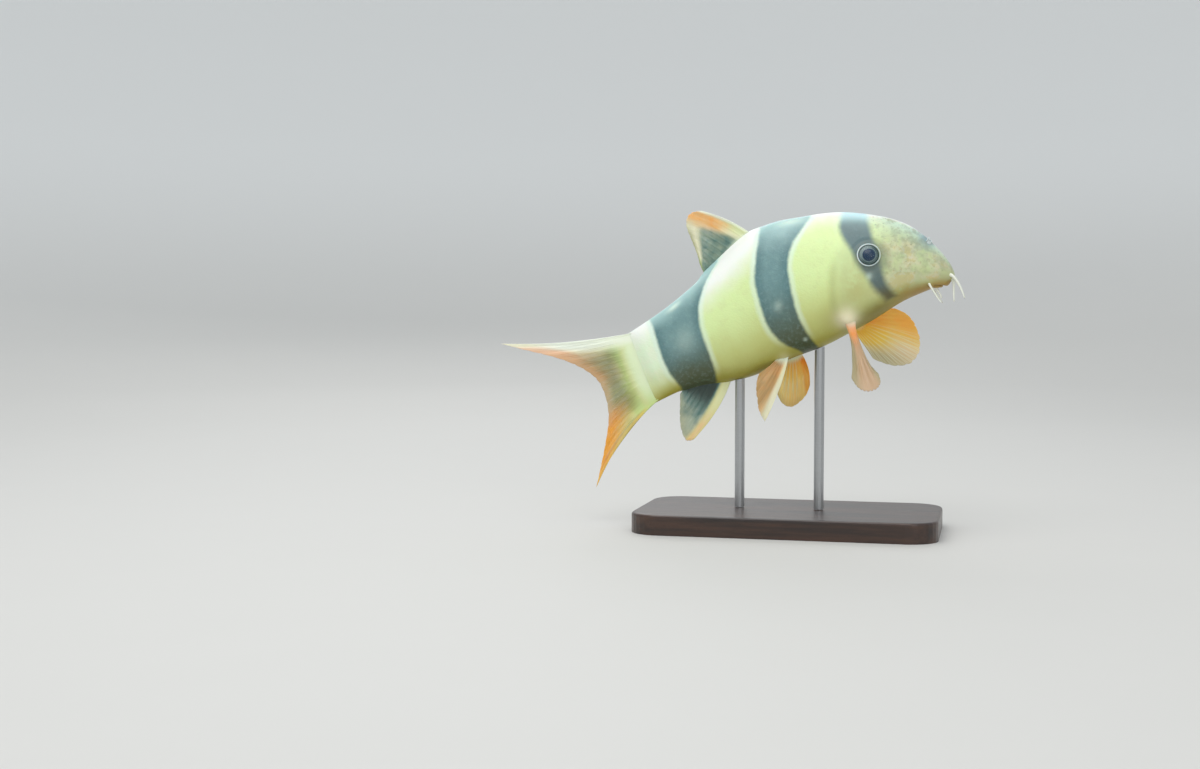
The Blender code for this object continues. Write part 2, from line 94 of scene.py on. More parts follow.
# How much fuller the flanks are below the middle than above it, from snout to tail.
LOW_FULLNESS = (0.30, 0.34, 0.26, 0.16, 0.0)

# The sweep of the tail to the fish's right: where it starts, its radius and its turn.
SWEEP_START = -40.0
SWEEP_RADIUS = 160.0
SWEEP_TURN = math.radians(14)

# Distances from the snout at every eighth of the way from back to belly.
GILL_EDGE = (40.5, 41.0, 41.5, 43.0, 45.0, 46.0, 44.5, 38.5, 32.5)
# The three dark bands: front edge, rear edge, and the share of the way to the belly at which each ends.
BANDS = (
    ((32.2, 31.8, 31.0, 29.2, 27.6, 26.2, 23.4, 21.8, 21.4),
     (41.2, 41.6, 42.4, 39.6, 35.2, 31.6, 27.8, 25.4, 24.6), 0.80),
    ((52.2, 53.2, 57.5, 61.7, 62.5, 61.9, 60.0, 57.6, 57.2),
     (71.0, 70.8, 72.2, 74.8, 75.2, 74.2, 70.8, 65.2, 64.0), 0.985),
    ((86.0, 90.5, 95.2, 97.7, 98.5, 98.5, 98.5, 99.6, 100.8),
     (116.4, 116.1, 115.8, 116.0, 116.2, 116.1, 114.8, 114.1, 114.5), 1.2),
)
# Pale patches inside the bands, partly the skin's own pale spots and partly painted highlights on the back
# ridge and in the middle of the rear band: distance, share of the way to the belly, length, height,
# strength.
PATCHES = (
    (32.6, 0.56, 1.5, 0.02, 0.6),
    (59.5, 0.11, 4.5, 0.04, 0.6),
    (68.5, 0.57, 1.6, 0.022, 0.28),
    (61.0, 0.80, 0.8, 0.011, 0.6),
    (106.0, 0.15, 2.6, 0.035, 0.8),
    (105.5, 0.48, 4.4, 0.09, 0.20),
)

# The eye: its place on the body, and the ball that fills the socket.
EYE_DISTANCE = 32.0
EYE_ANGLE = math.radians(78)
EYE_RADIUS = 4.8
EYE_DEPTH = 3.2
EYE_SINK = 1.9

# The mouth opens downwards: the place of its corners, and how far forward and sideways its lines reach.
MOUTH_X = 54.8
UPPER_LIP = (6.3, 4.4)
LOWER_LIP = (3.9, 3.9)
MOUTH_SLIT = (5.1, 4.15)

# The nostrils: their place, then the outlines of tube and flap as radius and height.
NOSTRIL_DISTANCE = 9.8
NOSTRIL_ANGLE = math.radians(28)
NOSTRIL_TUBE = (
    (0.0, -0.6), (0.42, -0.6), (0.40, 0.3), (0.44, 0.95), (0.55, 1.08), (0.66, 1.02), (0.74, 0.7),
    (0.88, 0.2), (1.25, -0.35), (1.1, -1.2), (0.0, -1.2),
)
NOSTRIL_FLAP = ((0.0, -1.0), (0.85, -0.9), (0.82, 0.3), (0.72, 1.2), (0.46, 1.9), (0.0, 2.15))

# Feelers: distance from the snout, degrees from the back, thickness, and two points on the way to the tip.
BARBELS = {
    "barbel_rostral_outer": (1.5, 112, 1.1, ((66.3, 4.7, 97.4), (68.2, 6.6, 92.8))),
    "barbel_rostral_inner": (1.3, 146, 1.05, ((64.0, 2.5, 95.6), (64.2, 3.6, 91.4))),
    "barbel_maxillary": (10.0, 141, 0.78, ((57.4, 7.3, 94.0), (59.6, 9.2, 90.9))),
    "barbel_mandibular": (7.6, 163, 0.7, ((58.7, 2.9, 94.4), (59.4, 3.9, 92.8))),
}

# Swellings where the paired fins grow: place, height, width and paleness.
FIN_BULGES = (
    ((23.4, -10.0, 85.0), 1.5, 4.2, 1.2),
    ((23.4, 9.6, 84.2), 1.1, 3.4, 1.0),
    ((-1.6, -5.4, 69.6), 0.7, 2.4, 0.4),
    ((1.0, 5.6, 70.6), 0.7, 2.4, 0.4),
)

# The share of its width that the tail stem loses towards the fin.
STEM_TAPER = 0.85
# Where the dorsal fin stands on the back and the anal fin under the belly, from the snout.
DORSAL_ROOT = (73.5, 93.1)
ANAL_ROOT = (94.8, 113.2)

# The photograph's view: where the camera is, its turn from straight at the flank and its dip.
CAMERA_PLACE = (0.08135, -0.64044, 0.09175)
CAMERA_TURN = math.radians(14)
CAMERA_DIP = math.radians(3)
# The studio, in metres: the flat part of the floor, how wide it bends up beyond, and where the lights aim.
FLOOR_FLAT = 0.7
FLOOR_BEND = 1.4
MODEL_MIDDLE = (-0.01, 0.0, 0.09)


def tint(red, green, blue):
    """A colour as it looks on a screen, from 0 to 255, as the light values that shaders take."""
    def light(value):
        share = value / 255
        return share / 12.92 if share <= 0.04045 else ((share + 0.055) / 1.055) ** 2.4

    return light(red), light(green), light(blue)


def ease(value, low, high):
    """0 below low, 1 above high, and an even rise between them."""
    share = np.clip((value - low) / (high - low), 0.0, 1.0)
    return share * share * (3 - 2 * share)


def fade(value, low, high):
    """1 below low, 0 above high, and an even fall between them."""
    return 1 - ease(value, low, high)


def hill(value, middle, width):
    """1 at the middle, falling smoothly to nothing on both sides."""
    return np.exp(-((value - middle) / width) ** 2)


class Smooth:
    """A curve of even bend through a row of values or points, read from 0 to 1."""

    def __init__(self, points):
        self.points = np.array(points, dtype=float)
        self.last = len(points) - 1
        system = np.eye(len(points))
        wanted = np.zeros_like(self.points)
        for i in range(1, self.last):
            system[i, i - 1:i + 2] = (1, 4, 1)
            wanted[i] = 6 * (self.points[i + 1] - 2 * self.points[i] + self.points[i - 1])
        self.bends = np.linalg.solve(system, wanted)

    def __call__(self, share):
        place = np.clip(np.asarray(share, dtype=float), 0.0, 1.0) * self.last
        i = np.minimum(place.astype(int), self.last - 1)
        far = place - i
        if self.points.ndim > 1:
            far = far[..., None]
        near = 1 - far
        straight = near * self.points[i] + far * self.points[i + 1]
        return straight + ((near**3 - near) * self.bends[i] + (far**3 - far) * self.bends[i + 1]) / 6


section_at = Smooth(SECTIONS)
fullness_at = Smooth(LOW_FULLNESS)
gill_edge_at = Smooth(GILL_EDGE)


def section_share(distance):
    """Where in the row of cuts a distance from the snout lies, from 0 to 1."""
    return np.sqrt(np.maximum(distance, 0.0) / BODY_LENGTH)


def way_down(angle):
    """The share of the way from the back to the belly at an angle, from 0 to 1."""
    return np.abs(angle) / math.pi


def flesh(distance, angle):
    """Points of the plain body, at distances from the snout and angles from the back, + to the left."""
    distance, angle = np.broadcast_arrays(np.asarray(distance, float), np.asarray(angle, float))
    share = section_share(distance)
    section = section_at(share)
    back, belly = section[..., 0:2], section[..., 2:4]
    turn = np.cos(angle)
    side = section[..., 4] * np.sin(angle) * (1 - fullness_at(share) * turn)
    middle = (back + belly) / 2 + (back - belly) / 2 * turn[..., None]
    return np.stack((middle[..., 0], side, middle[..., 1]), axis=-1)


def unit(vectors):
    """The same directions with a length of 1."""
    return vectors / np.maximum(np.linalg.norm(vectors, axis=-1, keepdims=True), 1e-12)


def distance_to(place, points):
    """Distance of each point from a place."""
    return np.linalg.norm(points - np.array(place), axis=-1)


def outward(distance, angle, step=0.02):
    """Directions out of the plain body at points of its surface."""
    along = flesh(distance + step, angle) - flesh(distance - step, angle)
    around = flesh(distance, angle + step) - flesh(distance, angle - step)
    return unit(np.cross(around, along))


def placed(points):
    """Points in metres, carried along by the sweep of the tail."""
    x, y, z = np.moveaxis(np.asarray(points, dtype=float), -1, 0)
    behind = np.maximum(SWEEP_START - x, 0.0)
    turn = np.minimum(behind / SWEEP_RADIUS, SWEEP_TURN)
    rest = behind - turn * SWEEP_RADIUS
    ahead = np.maximum(x, SWEEP_START)
    new_x = ahead - SWEEP_RADIUS * np.sin(turn) - rest * np.cos(turn) - y * np.sin(turn)
    new_y = -SWEEP_RADIUS * (1 - np.cos(turn)) - rest * np.sin(turn) + y * np.cos(turn)
    return np.stack((new_x, new_y, z), axis=-1) * MM


def surface_frame(distance, angle, sink=0.0):
    """A turn and a place: local Z leaves the body and X points to the snout, sink below the surface."""
    normal = outward(distance, angle)
    forward = unit(flesh(distance - 0.1, angle) - flesh(distance + 0.1, angle))
    across = unit(np.cross(normal, forward))
    origin = flesh(distance, angle) - normal * sink
    return np.stack((np.cross(across, normal), across, normal)), origin


def local(points, place):
    """Points as a surface frame sees them."""
    axes, origin = place
    return (points - origin) @ axes.T


def world(points, place):
    """Points of a surface frame as the body sees them."""
    axes, origin = place
    return points @ axes + origin


class Mark:
    """A value that changes over a surface. Sums on it add their Math nodes."""

    def __init__(self, finish, socket):
        self.finish = finish
        self.socket = socket

    def _sum(self, operation, first, second):
        return self.finish.add("ShaderNodeMath", {"operation": operation}, {0: first, 1: second})

    def __add__(self, other):
        return self._sum("ADD", self, other)

    def __radd__(self, other):
        return self._sum("ADD", other, self)

    def __sub__(self, other):
        return self._sum("SUBTRACT", self, other)

    def __rsub__(self, other):
        return self._sum("SUBTRACT", other, self)

    def __mul__(self, other):
        return self._sum("MULTIPLY", self, other)

    def most(self, other):
        """The larger of two values."""
        return self._sum("MAXIMUM", self, other)

    def wave(self):
        """The sine of the value."""
        return self.finish.add("ShaderNodeMath", {"operation": "SINE"}, {0: self})

    def rise(self, low, high):
        """0 below low, 1 above high, and an even rise between them."""
        limits = {"Value": self, "From Min": low, "From Max": high}
        return self.finish.add("ShaderNodeMapRange", {"interpolation_type": "SMOOTHSTEP"}, limits)

    def fall(self, low, high):
        """1 below low, 0 above high, and an even fall between them."""
        return 1 - self.rise(low, high)

    def peak(self, middle, width):
        """1 at the middle, and nothing further away than the width."""
        return self.rise(middle - width, middle) * self.fall(middle, middle + width)


class Finish:
    """A material as it is put together, one node at a time, with the colour that it has so far."""

    def __init__(self, name):
        self.material = bpy.data.materials.new(name)
        self.material.use_nodes = True
        self.shader = self.material.node_tree.nodes["Principled BSDF"]
        self.place = self.add("ShaderNodeTexCoord", {}, {}, "Object")
        self.colour = None
        self.marks = {}

    def add(self, kind, settings, inputs, output=0):
        """Any node: its type, its settings, and the values or links of its sockets."""
        node = self.material.node_tree.nodes.new(kind)
        for name, value in settings.items():
            setattr(node, name, value)
        for name, value in inputs.items():
            self.feed(node.inputs[name], value)
        return Mark(self, node.outputs[output])

    def feed(self, socket, value):
        """Links a socket to a changing value, or sets it."""
        if isinstance(value, Mark):
            self.material.node_tree.links.new(value.socket, socket)
        elif socket.type == "RGBA":
            socket.default_value = (*value[:3], 1.0)
        else:
            socket.default_value = value

    def mark(self, name):
        """A value kept at the points of the mesh."""
        if name not in self.marks:
            self.marks[name] = self.add("ShaderNodeAttribute", {"attribute_name": name}, {}, "Fac")
        return self.marks[name]

    def noise(self, size, detail=2.0, rough=0.5, place=None):
        """Cloudy values from 0 to 1, with clouds of a size in millimetres."""
        sockets = {"Scale": 1000 / size, "Detail": detail, "Roughness": rough}
        return self.add("ShaderNodeTexNoise", {}, {"Vector": place or self.place, **sockets}, "Fac")

    def cells(self, size):
        """Distance to the middle of round cells of a size in millimetres, from 0 to about 1."""
        sockets = {"Vector": self.place, "Scale": 1000 / size}
        return self.add("ShaderNodeTexVoronoi", {}, sockets, "Distance")

    def squeezed(self, factors):
        """Object coordinates stretched, for a grain that runs one way."""
        return self.add("ShaderNodeMapping", {}, {"Vector": self.place, "Scale": factors}, "Vector")

    def mix(self, share, first, second):
        """One colour turning into another."""
        return self.add("ShaderNodeMix", {"data_type": "RGBA"}, {0: share, 6: first, 7: second}, 2)

    def paint(self, share, colour):
        """Lays a colour over the one so far."""
        self.colour = self.mix(share, self.colour, colour)

    def shade(self, share, factor):
        """Makes the colour so far darker."""
        sockets = {0: self.colour, 1: (factor, factor, factor)}
        self.paint(share, self.add("ShaderNodeVectorMath", {"operation": "MULTIPLY"}, sockets))

    def relief(self, height, depth, before=None):
        """A bump of a depth in millimetres, on top of an earlier one."""
        sockets = {"Height": height, "Distance": depth * MM, "Strength": 1.0}
        if before:
            sockets["Normal"] = before
        return self.add("ShaderNodeBump", {}, sockets, "Normal")

    def done(self, **sockets):
        """Sets the shader's own sockets, named with underscores, and returns the material."""
        for name, value in sockets.items():
            self.feed(self.shader.inputs[name.replace("_", " ").title().replace("Ior", "IOR")], value)
        return self.material


def keep_marks(shape, marks):
    """Keeps arrays of values at the points of a mesh."""
    for name, values in marks.items():
        layer = shape.verts.layers.float.new(name)
        for vert, value in zip(shape.verts, values):
            vert[layer] = value


def smooth_object(name, shape, finish):
    """An object of a smooth shape with its material."""
    mesh = bpy.data.meshes.new(name)
    shape.to_mesh(mesh)
    shape.free()
    mesh.shade_smooth()
    mesh.materials.append(finish)
    thing = bpy.data.objects.new(name, mesh)
    bpy.context.scene.collection.objects.link(thing)
    return thing


def piece(name, shape, finish, stands_for=()):
    """Makes a finished piece: an object that rides on the body and stands for CAD nodes."""
    thing = smooth_object(name, shape, finish)
    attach(thing, "root")
    if stands_for:
        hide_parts(*stands_for)


def points_of(shape):
    """The points of a mesh in rows."""
    return np.array([vert.co for vert in shape.verts])


def move_points(shape, points):
    """Sends each point of a mesh to its own new place, given in millimetres and without the tail's sweep."""
    for vert, point in zip(shape.verts, placed(points)):
        vert.co = point


def grid_values(shape):
    """The two shares, from 0 to 1, of the points of a flat grid."""
    flat = np.array([vert.co[:2] for vert in shape.verts]) + 0.5
    return flat[:, 0], flat[:, 1]


def close_ends(shape):
    """Closes both ends of a tube and turns its faces outwards."""
    rim = [edge for edge in shape.edges if edge.is_boundary]
    ends = bmesh.ops.holes_fill(shape, edges=rim, sides=0)["faces"]
    bmesh.ops.poke(shape, faces=ends)
    bmesh.ops.recalc_face_normals(shape, faces=shape.faces[:])


def colour_setting(name, description, red, green, blue):
    """A colour that the sidebar shows, its default given as it looks on a screen."""
    return FloatVectorProperty(
        name=name, description=description, subtype="COLOR", default=tint(red, green, blue))


def length_setting(name, description, default):
    """A size in metres that the sidebar shows."""
    return FloatProperty(name=name, description=description, default=default, unit="LENGTH")


class LoachSkinSettings(PropertyGroup):
    """Sizes and colours of the skin."""

    columns: IntProperty(name="Columns", description="Faces round the body", default=144, min=24)
    rows: IntProperty(name="Rows", description="Faces from snout to tail", default=300, min=40)
    gill_rise: length_setting("Gill cover", "How far the gill cover stands out at its edge", 0.0006)
    lip_rise: length_setting("Lips", "How far the lips stand out", 0.0008)
    rim_rise: length_setting("Eye rim", "How far the ring round each eye stands out", 0.00040)
    # Back and tail stem: their white is partly a painted sheen of light from above. Low flank and belly:
    # partly painted shade under the body.
    back: colour_setting("Back", "Pale skin along the back", 252, 255, 246)
    flank: colour_setting("Flank", "Pale skin of the sides", 226, 246, 174)
    low_flank: colour_setting("Low flank", "Skin of the lower sides", 204, 208, 124)
    belly: colour_setting("Belly", "Skin under the belly", 172, 164, 66)
    stem: colour_setting("Tail stem", "Silvery skin in front of the tail", 236, 255, 220)
    head: colour_setting("Head", "Skin of the snout and cheeks", 193, 205, 150)
    crown: colour_setting("Crown", "Greyer skin on top of the head", 146, 166, 162)
    lips: colour_setting("Lips", "Skin round the mouth and under the jaw", 164, 128, 52)
    band: colour_setting("Bands", "Dark bands", 92, 130, 132)
    # Band tops: the bands' paler colour, painted light from above near the back, and also their paler
    # middles and flecks. Band ends: darker near the belly, partly painted shade.
    band_pale_and_lit: colour_setting("Band tops", "Dark bands near the back", 176, 212, 208)
    band_low: colour_setting("Band ends", "Dark bands near the belly", 78, 88, 58)
    edge: colour_setting("Band rims", "Pale rims along the bands", 232, 252, 234)
    soft: FloatProperty(
        name="Softness", description="Share of the light that passes through the skin", default=0.1, min=0.0,
        max=1.0)


class LoachEyeSettings(PropertyGroup):
    """Sizes and colours of the eyes."""

    pupil: length_setting("Pupil", "Radius of the pupil", 0.0025)
    iris: colour_setting("Iris", "Dark ring round the pupil", 64, 88, 86)
    ring: colour_setting("Ring", "Thin bright ring round the pupil", 122, 146, 150)


class LoachFinSettings(PropertyGroup):
    """Sizes and colours of the fins."""

    root_half: length_setting("Root", "Half thickness at the root", 0.00045)
    tail_half: length_setting("Tail root", "Half thickness of the tail fin where it leaves the body", 0.001)
    margin_half: length_setting("Margin", "Half thickness at the margin", 0.00010)
    ray_rise: length_setting("Rays", "How far the rays stand out of the membrane", 0.00016)
    white: colour_setting("White", "Roots and leading edges of the fins", 243, 254, 226)
    lime: colour_setting("Lime", "Yellow-green parts of the tail fin", 208, 226, 154)
    cream: colour_setting("Cream", "Pale parts of the fins", 252, 246, 200)
    gold: colour_setting("Gold", "Yellow parts of the fins", 244, 188, 48)
    orange: colour_setting("Orange", "Orange parts of the fins", 255, 150, 34)
    pink: colour_setting("Pink", "Pinkish parts of the fins", 240, 182, 148)
    dark: colour_setting("Dark", "Dark parts of the fins", 82, 122, 116)
    membrane: colour_setting("Membrane", "Clear skin between the rays", 112, 122, 66)
    soft: FloatProperty(
        name="Softness", description="Share of the light that passes through the fins", default=0.5, min=0.0,
        max=1.0)


class LoachFeelerSettings(PropertyGroup):
    """Sizes and colour of the feelers."""

    root: length_setting("Root", "Radius at the root", 0.0008)
    tip: length_setting("Tip", "Radius at the tip", 0.00014)
    colour: colour_setting("Colour", "Colour of the feelers", 240, 244, 232)


class LoachStandSettings(PropertyGroup):
    """Colours of the stand."""

    wood: colour_setting("Wood", "Stained wood of the base", 70, 44, 30)
    grain: colour_setting("Grain", "Darker lines of the wood", 34, 21, 15)
    steel: colour_setting("Steel", "Brushed steel of the rods", 190, 192, 194)


class LoachStageSettings(PropertyGroup):
    """The plain studio round the model."""

    floor: colour_setting("Floor", "Pale floor", 212, 210, 205)
    wall: colour_setting("Wall", "Paler wall behind", 236, 236, 233)
    key_power: FloatProperty(name="Key light", description="Power of the light from above", default=3.5)
    fill_power: FloatProperty(name="Fill light", description="Power of the light in front", default=0.43)
    back_power: FloatProperty(name="Back light", description="Power of the light from behind", default=1.5)
    sky: FloatProperty(name="Sky", description="Strength of the even light from all round", default=0.72)
    lens: FloatProperty(name="Lens", description="Focal length in millimetres", default=48.0)


def band_depth(distance, angle):
    """How far inside a dark band each point lies, in millimetres, below 0 outside."""
    turn = way_down(angle)
    section = section_at(section_share(distance))
    half_round = np.linalg.norm(section[..., 0:2] - section[..., 2:4], axis=-1) * 1.35
    # The bands of the left side differ a little from those of the right, and meet them on back and belly.
    shift = np.where(angle > 0, 1.1 * np.sin(turn * math.pi) * np.sin(turn * 8 + distance * 0.02), 0.0)
    depth = np.full(np.shape(distance), -FAR)
    step = 0.01
    for front, rear, end in BANDS:
        edges = Smooth(front), Smooth(rear)
        gaps = (distance + shift - edges[0](turn), edges[1](turn) - distance - shift)
        leans = [
            (edge(turn + step) - edge(turn - step)) / (2 * step) / np.maximum(half_round, 1.0)
            for edge in edges
        ]
        inside = np.minimum(*(gap / np.sqrt(1 + lean**2) for gap, lean in zip(gaps, leans)))
        inside = np.minimum(inside, (end - turn) * half_round)
        depth = np.maximum(depth, inside)
    return depth


def patch_strength(distance, angle):
    """Where the pale patches inside the bands are, from 0 to 1."""
    turn = way_down(angle)
    strength = np.zeros(np.shape(distance))
    for along, down, length, height, most in PATCHES:
        spot = most * hill(distance, along, length) * hill(turn, down, height)
        strength = np.maximum(strength, spot)
    return strength


def eye_places(sink=0.0):
    """Surface frames of the right and the left eye."""
    return {side: surface_frame(EYE_DISTANCE, side * EYE_ANGLE, sink) for side in (-1, 1)}


def eye_reach(points):
    """Distance of each point from the nearer eye's axis, in millimetres."""
    return eye_view(points)[0]


def eye_view(points):
    """Distance of each point from the nearer eye's axis, and 1 above and behind it to 0 below and ahead."""
    reach = np.full(len(points), FAR)
    lit = np.zeros(len(points))
    for side, place in eye_places().items():
        x, y, z = local(points, place).T
        away = np.where(np.abs(z) < 6, np.hypot(x, y), FAR)
        lit = np.where(away < reach, 0.5 - 0.5 * (x + side * y) / np.maximum(away, 0.1) / 1.42, lit)
        reach = np.minimum(reach, away)
    return reach, lit


def mouth_line(reach, half_turn):
    """Points of an arc round the mouth, on the underside of the snout."""
    phase = np.radians(np.linspace(-half_turn, half_turn, 48))
    distance = SECTIONS[0][0] - MOUTH_X - reach[0] * np.cos(phase)
    aside = reach[1] * np.sin(phase)
    # The angle at which the body is as wide as the arc, found by halving.
    low = np.full(len(phase), math.pi / 2)
    high = np.full(len(phase), math.pi)
    for _ in range(24):
        middle = (low + high) / 2
        outside = flesh(distance, middle)[:, 1] > np.abs(aside)
        low = np.where(outside, middle, low)
        high = np.where(outside, high, middle)
    return flesh(distance, np.copysign(high, aside))


def reach_of(points, line):
    """Distance of each point from the nearest point of a line."""
    gaps = np.linalg.norm(points[:, None, :] - line[None, :, :], axis=-1)
    return gaps.min(axis=1)


def gill_relief(distance, turn, rise):
    """The gill cover, proud at its rear edge, which shows more the lower it runs."""
    past = distance - gill_edge_at(turn)
    cover = ease(turn, 0.22, 0.5) * fade(turn, 0.76, 0.88)
    height = cover * rise * ease(past, -12.0, -1.0) * fade(past, -0.8, 3.4)
    return height - 0.08 * hill(past, -10.5, 1.6) * ease(turn, 0.45, 0.55) * fade(turn, 0.70, 0.8)


def eye_relief(reach, rise):
    """A raised ring round each socket, a faint fold round the ring, and the socket itself."""
    height = rise * hill(reach, 4.45, 0.42) - 0.10 * hill(reach, 6.3, 0.7) + 0.06 * hill(reach, 7.6, 0.9)
    return height - 2.2 * fade(reach, 3.4, 4.05)


def lip_relief(mouth, roll):
    """Two soft rolls round the mouth and the line where they meet, and the mask of the lips."""
    upper = reach_of(mouth, mouth_line(UPPER_LIP, 84))
    lower = reach_of(mouth, mouth_line(LOWER_LIP, 84))
    slit = reach_of(mouth, mouth_line(MOUTH_SLIT, 76))
    rolls = np.maximum(roll * hill(upper, 0, 1.25), 0.85 * roll * hill(lower, 0, 1.15))
    return rolls - 0.9 * hill(slit, 0, 0.34), np.maximum(hill(upper, 0, 2.0), hill(lower, 0, 1.8))


def root_relief(distance, turn, points):
    """Low ridges under the dorsal and anal fin, and swellings under the paired fins and the feelers."""
    # About how far it is round the flank from back to belly, in millimetres.
    flank = 60
    arc = turn * flank
    height = 1.1 * hill(arc, 0, 2.1) * ease(distance, 68, 76) * fade(distance, 92, 97)
    height += 0.6 * hill(flank - arc, 0, 1.5) * ease(distance, 92, 97) * fade(distance, 112, 116)
    for root, rise, width, _ in FIN_BULGES:
        height += rise * hill(distance_to(root, points), 0, width)
    for along, degrees, _, _ in BARBELS.values():
        for side in (-1, 1):
            root = flesh(along, side * math.radians(degrees))
            height += 0.4 * hill(distance_to(root, points), 0, 1.1)
    return height


def spine_relief(points):
    """The groove in front of and below each eye, where the spine of the cheek lies folded."""
    groove = flesh(np.linspace(17, 29, 24), np.radians(np.linspace(92, 112, 24)))
    return sum(-0.14 * hill(reach_of(points * (1, side, 1), groove), 0, 0.5) for side in (-1, 1))


def skin_relief(distance, angle, points, skin):
    """How far the finished skin stands out of the plain body, in millimetres, and the mask of the lips."""
    turn = way_down(angle)
    height = gill_relief(distance, turn, skin.gill_rise / MM)
    height += eye_relief(eye_reach(points), skin.rim_rise / MM)
    lips = np.zeros(len(points))
    near = (distance < 17) & (turn > 0.4)
    rolls, lips[near] = lip_relief(points[near], skin.lip_rise / MM)
    height[near] += rolls
    height += root_relief(distance, turn, points)
    height += spine_relief(points)
    return height, lips


def skin_place(u, v):
    """Distance from the snout and angle from the back, at the two shares of the skin's flat grid."""
    return BODY_LENGTH * v**1.5, (u - 0.5) * math.tau


def split_faces(shape, wanted):
    """Cuts the faces of a flat grid in four wherever the body surface there is wanted finer."""
    faces = list(shape.faces)
    middles = np.array([face.calc_center_median()[:2] for face in faces]) + 0.5
    chosen = wanted(*skin_place(middles[:, 0], middles[:, 1]))
    edges = {edge for face, pick in zip(faces, chosen) if pick for edge in face.edges}
    bmesh.ops.subdivide_edges(shape, edges=list(edges), cuts=1, use_grid_fill=True)


def around_eyes(distance, angle):
    """Whether places on the body are near an eye."""
    return eye_reach(flesh(distance, angle)) < 7.5


def around_mouth(distance, angle):
    """Whether places on the body are near the mouth."""
    return (distance < 16) & (way_down(angle) > 0.42)


def along_gill(distance, angle):
    """Whether places on the body are at the rear edge of the gill cover."""
    turn = way_down(angle)
    past = distance - gill_edge_at(turn)
    return (past > -1.2) & (past < 1.8) & (turn > 0.22) & (turn < 0.9)


def skin_shape(skin):
    """The whole skin, closed from snout to tail, with its marks."""
    shape = bmesh.new()
    bmesh.ops.create_grid(shape, x_segments=skin.columns, y_segments=skin.rows, size=0.5)
    for wanted in (around_eyes, around_mouth, along_gill, around_eyes):
        split_faces(shape, wanted)
    distance, angle = skin_place(*grid_values(shape))
    down = way_down(angle)
    plain = flesh(distance, angle)
    height, lips = skin_relief(distance, angle, plain, skin)
    # The middle of the painted bluish shadow at the nostrils.
    nostril_shadow = flesh(NOSTRIL_DISTANCE + 1.0, -NOSTRIL_ANGLE) * (1, 0, 1)
    reach, lit = eye_view(plain)
    bare = np.zeros(len(plain))
    for root, _, width, paleness in FIN_BULGES:
        bare = np.maximum(bare, paleness * hill(distance_to(root, plain), 0.0, width))
    keep_marks(shape, {
        "band": band_depth(distance, angle),
        "down": down,
        "along": distance,
        "patch": patch_strength(distance, angle),
        "lips": lips,
        "eye": reach,
        "lit": lit,
        "nostril_shadow": hill(np.linalg.norm((plain - nostril_shadow) * (1, 0.7, 1), axis=-1), 0.0, 4.0),
        "flesh": bare,
        "gill": distance - gill_edge_at(down),
    })
    # The relief fades out at the very tip of the snout, and the stem narrows to the tail fin.
    height *= ease(distance, 0.0, 1.5)
    points = plain + outward(np.maximum(distance, 0.05), angle) * height[:, None]
    points[:, 1] *= 1 - STEM_TAPER * ease(distance, 121.0, BODY_LENGTH)
    move_points(shape, points)
    bmesh.ops.remove_doubles(shape, verts=shape.verts[:], dist=0.0005 * MM)
    close_ends(shape)
    return shape


def paint_flanks(finish, skin, clouds, patches):
    """The pale skin from back to belly, whiter in front of the tail. The white of back and stem is partly a
    painted sheen of light from above, the darker low flanks partly painted shade.
    """
    down = finish.mark("down")
    along = finish.mark("along")
    low = down + (clouds - 0.5) * 0.08
    white = low - along.rise(46.0, 86.0) * 0.16
    side = finish.mix(patches.rise(0.46, 0.74) * 0.2, skin.flank, tint(206, 212, 150))
    # The back's white is partly a painted sheen of light from above, the low flank colour partly painted
    # shade.
    side = finish.mix(white.rise(0.04, 0.26), skin.back, side)
    side = finish.mix(low.rise(0.44, 0.74), side, skin.low_flank)
    stem = finish.mix(patches.rise(0.4, 0.7) * 0.25, skin.stem, tint(252, 246, 228))
    # The stem's white is partly a painted sheen of light from above, its olive lower edge partly painted
    # shade.
    stem = finish.mix(low.rise(0.12, 0.38), skin.back, stem)
    stem = finish.mix(low.rise(0.5, 0.86), stem, skin.low_flank)
    finish.colour = finish.mix(along.rise(106.0, 118.0), side, stem)
    finish.paint(along.rise(119.0, 127.0) * down.rise(0.4, 0.8) * 0.6, tint(224, 232, 166))
    finish.paint(along.rise(122.0, 128.0) * 0.3, tint(222, 240, 186))


def paint_head(finish, skin, clouds, patches):
    """The head: beige, clouded with grey on top and with pink on the cheeks, with a painted bluish shadow at
    the nostrils.
    """
    down = finish.mark("down")
    along = finish.mark("along")
    cheek = finish.mark("gill").fall(-3.5, 2.5) * down.rise(0.26, 0.42) * 0.5
    face = (along + (clouds - 0.5) * 8).fall(20.0, 37.0) * down.rise(0.02, 0.16)
    finish.paint(face.most(cheek) * 0.9, skin.head)
    finish.paint(face * down.fall(0.12, 0.36) * 0.7, tint(210, 236, 222))
    blush = face * down.rise(0.24, 0.4) * down.fall(0.66, 0.76) * clouds.rise(0.36, 0.62)
    finish.paint(blush * 0.5, tint(226, 206, 190))
    fair = along.peak(20.5, 8.5) * down.peak(0.64, 0.14)
    finish.paint(fair * 0.25, tint(188, 204, 170))
    amber = along.peak(38.0, 8.0) * down.peak(0.6, 0.2) * patches.rise(0.3, 0.6)
    finish.paint(amber * 0.35, tint(190, 172, 100))
    crown = along.fall(12.0, 34.0) * down.fall(0.3, 0.56) * patches.rise(0.34, 0.66)
    finish.paint(crown * 0.45, skin.crown)
    finish.paint(along.fall(2.0, 9.0) * 0.4, tint(172, 166, 126))
    # A painted bluish shadow round the nostrils.
    finish.paint(finish.mark("nostril_shadow") * (patches * 0.6 + 0.6), tint(124, 152, 168))
    return face


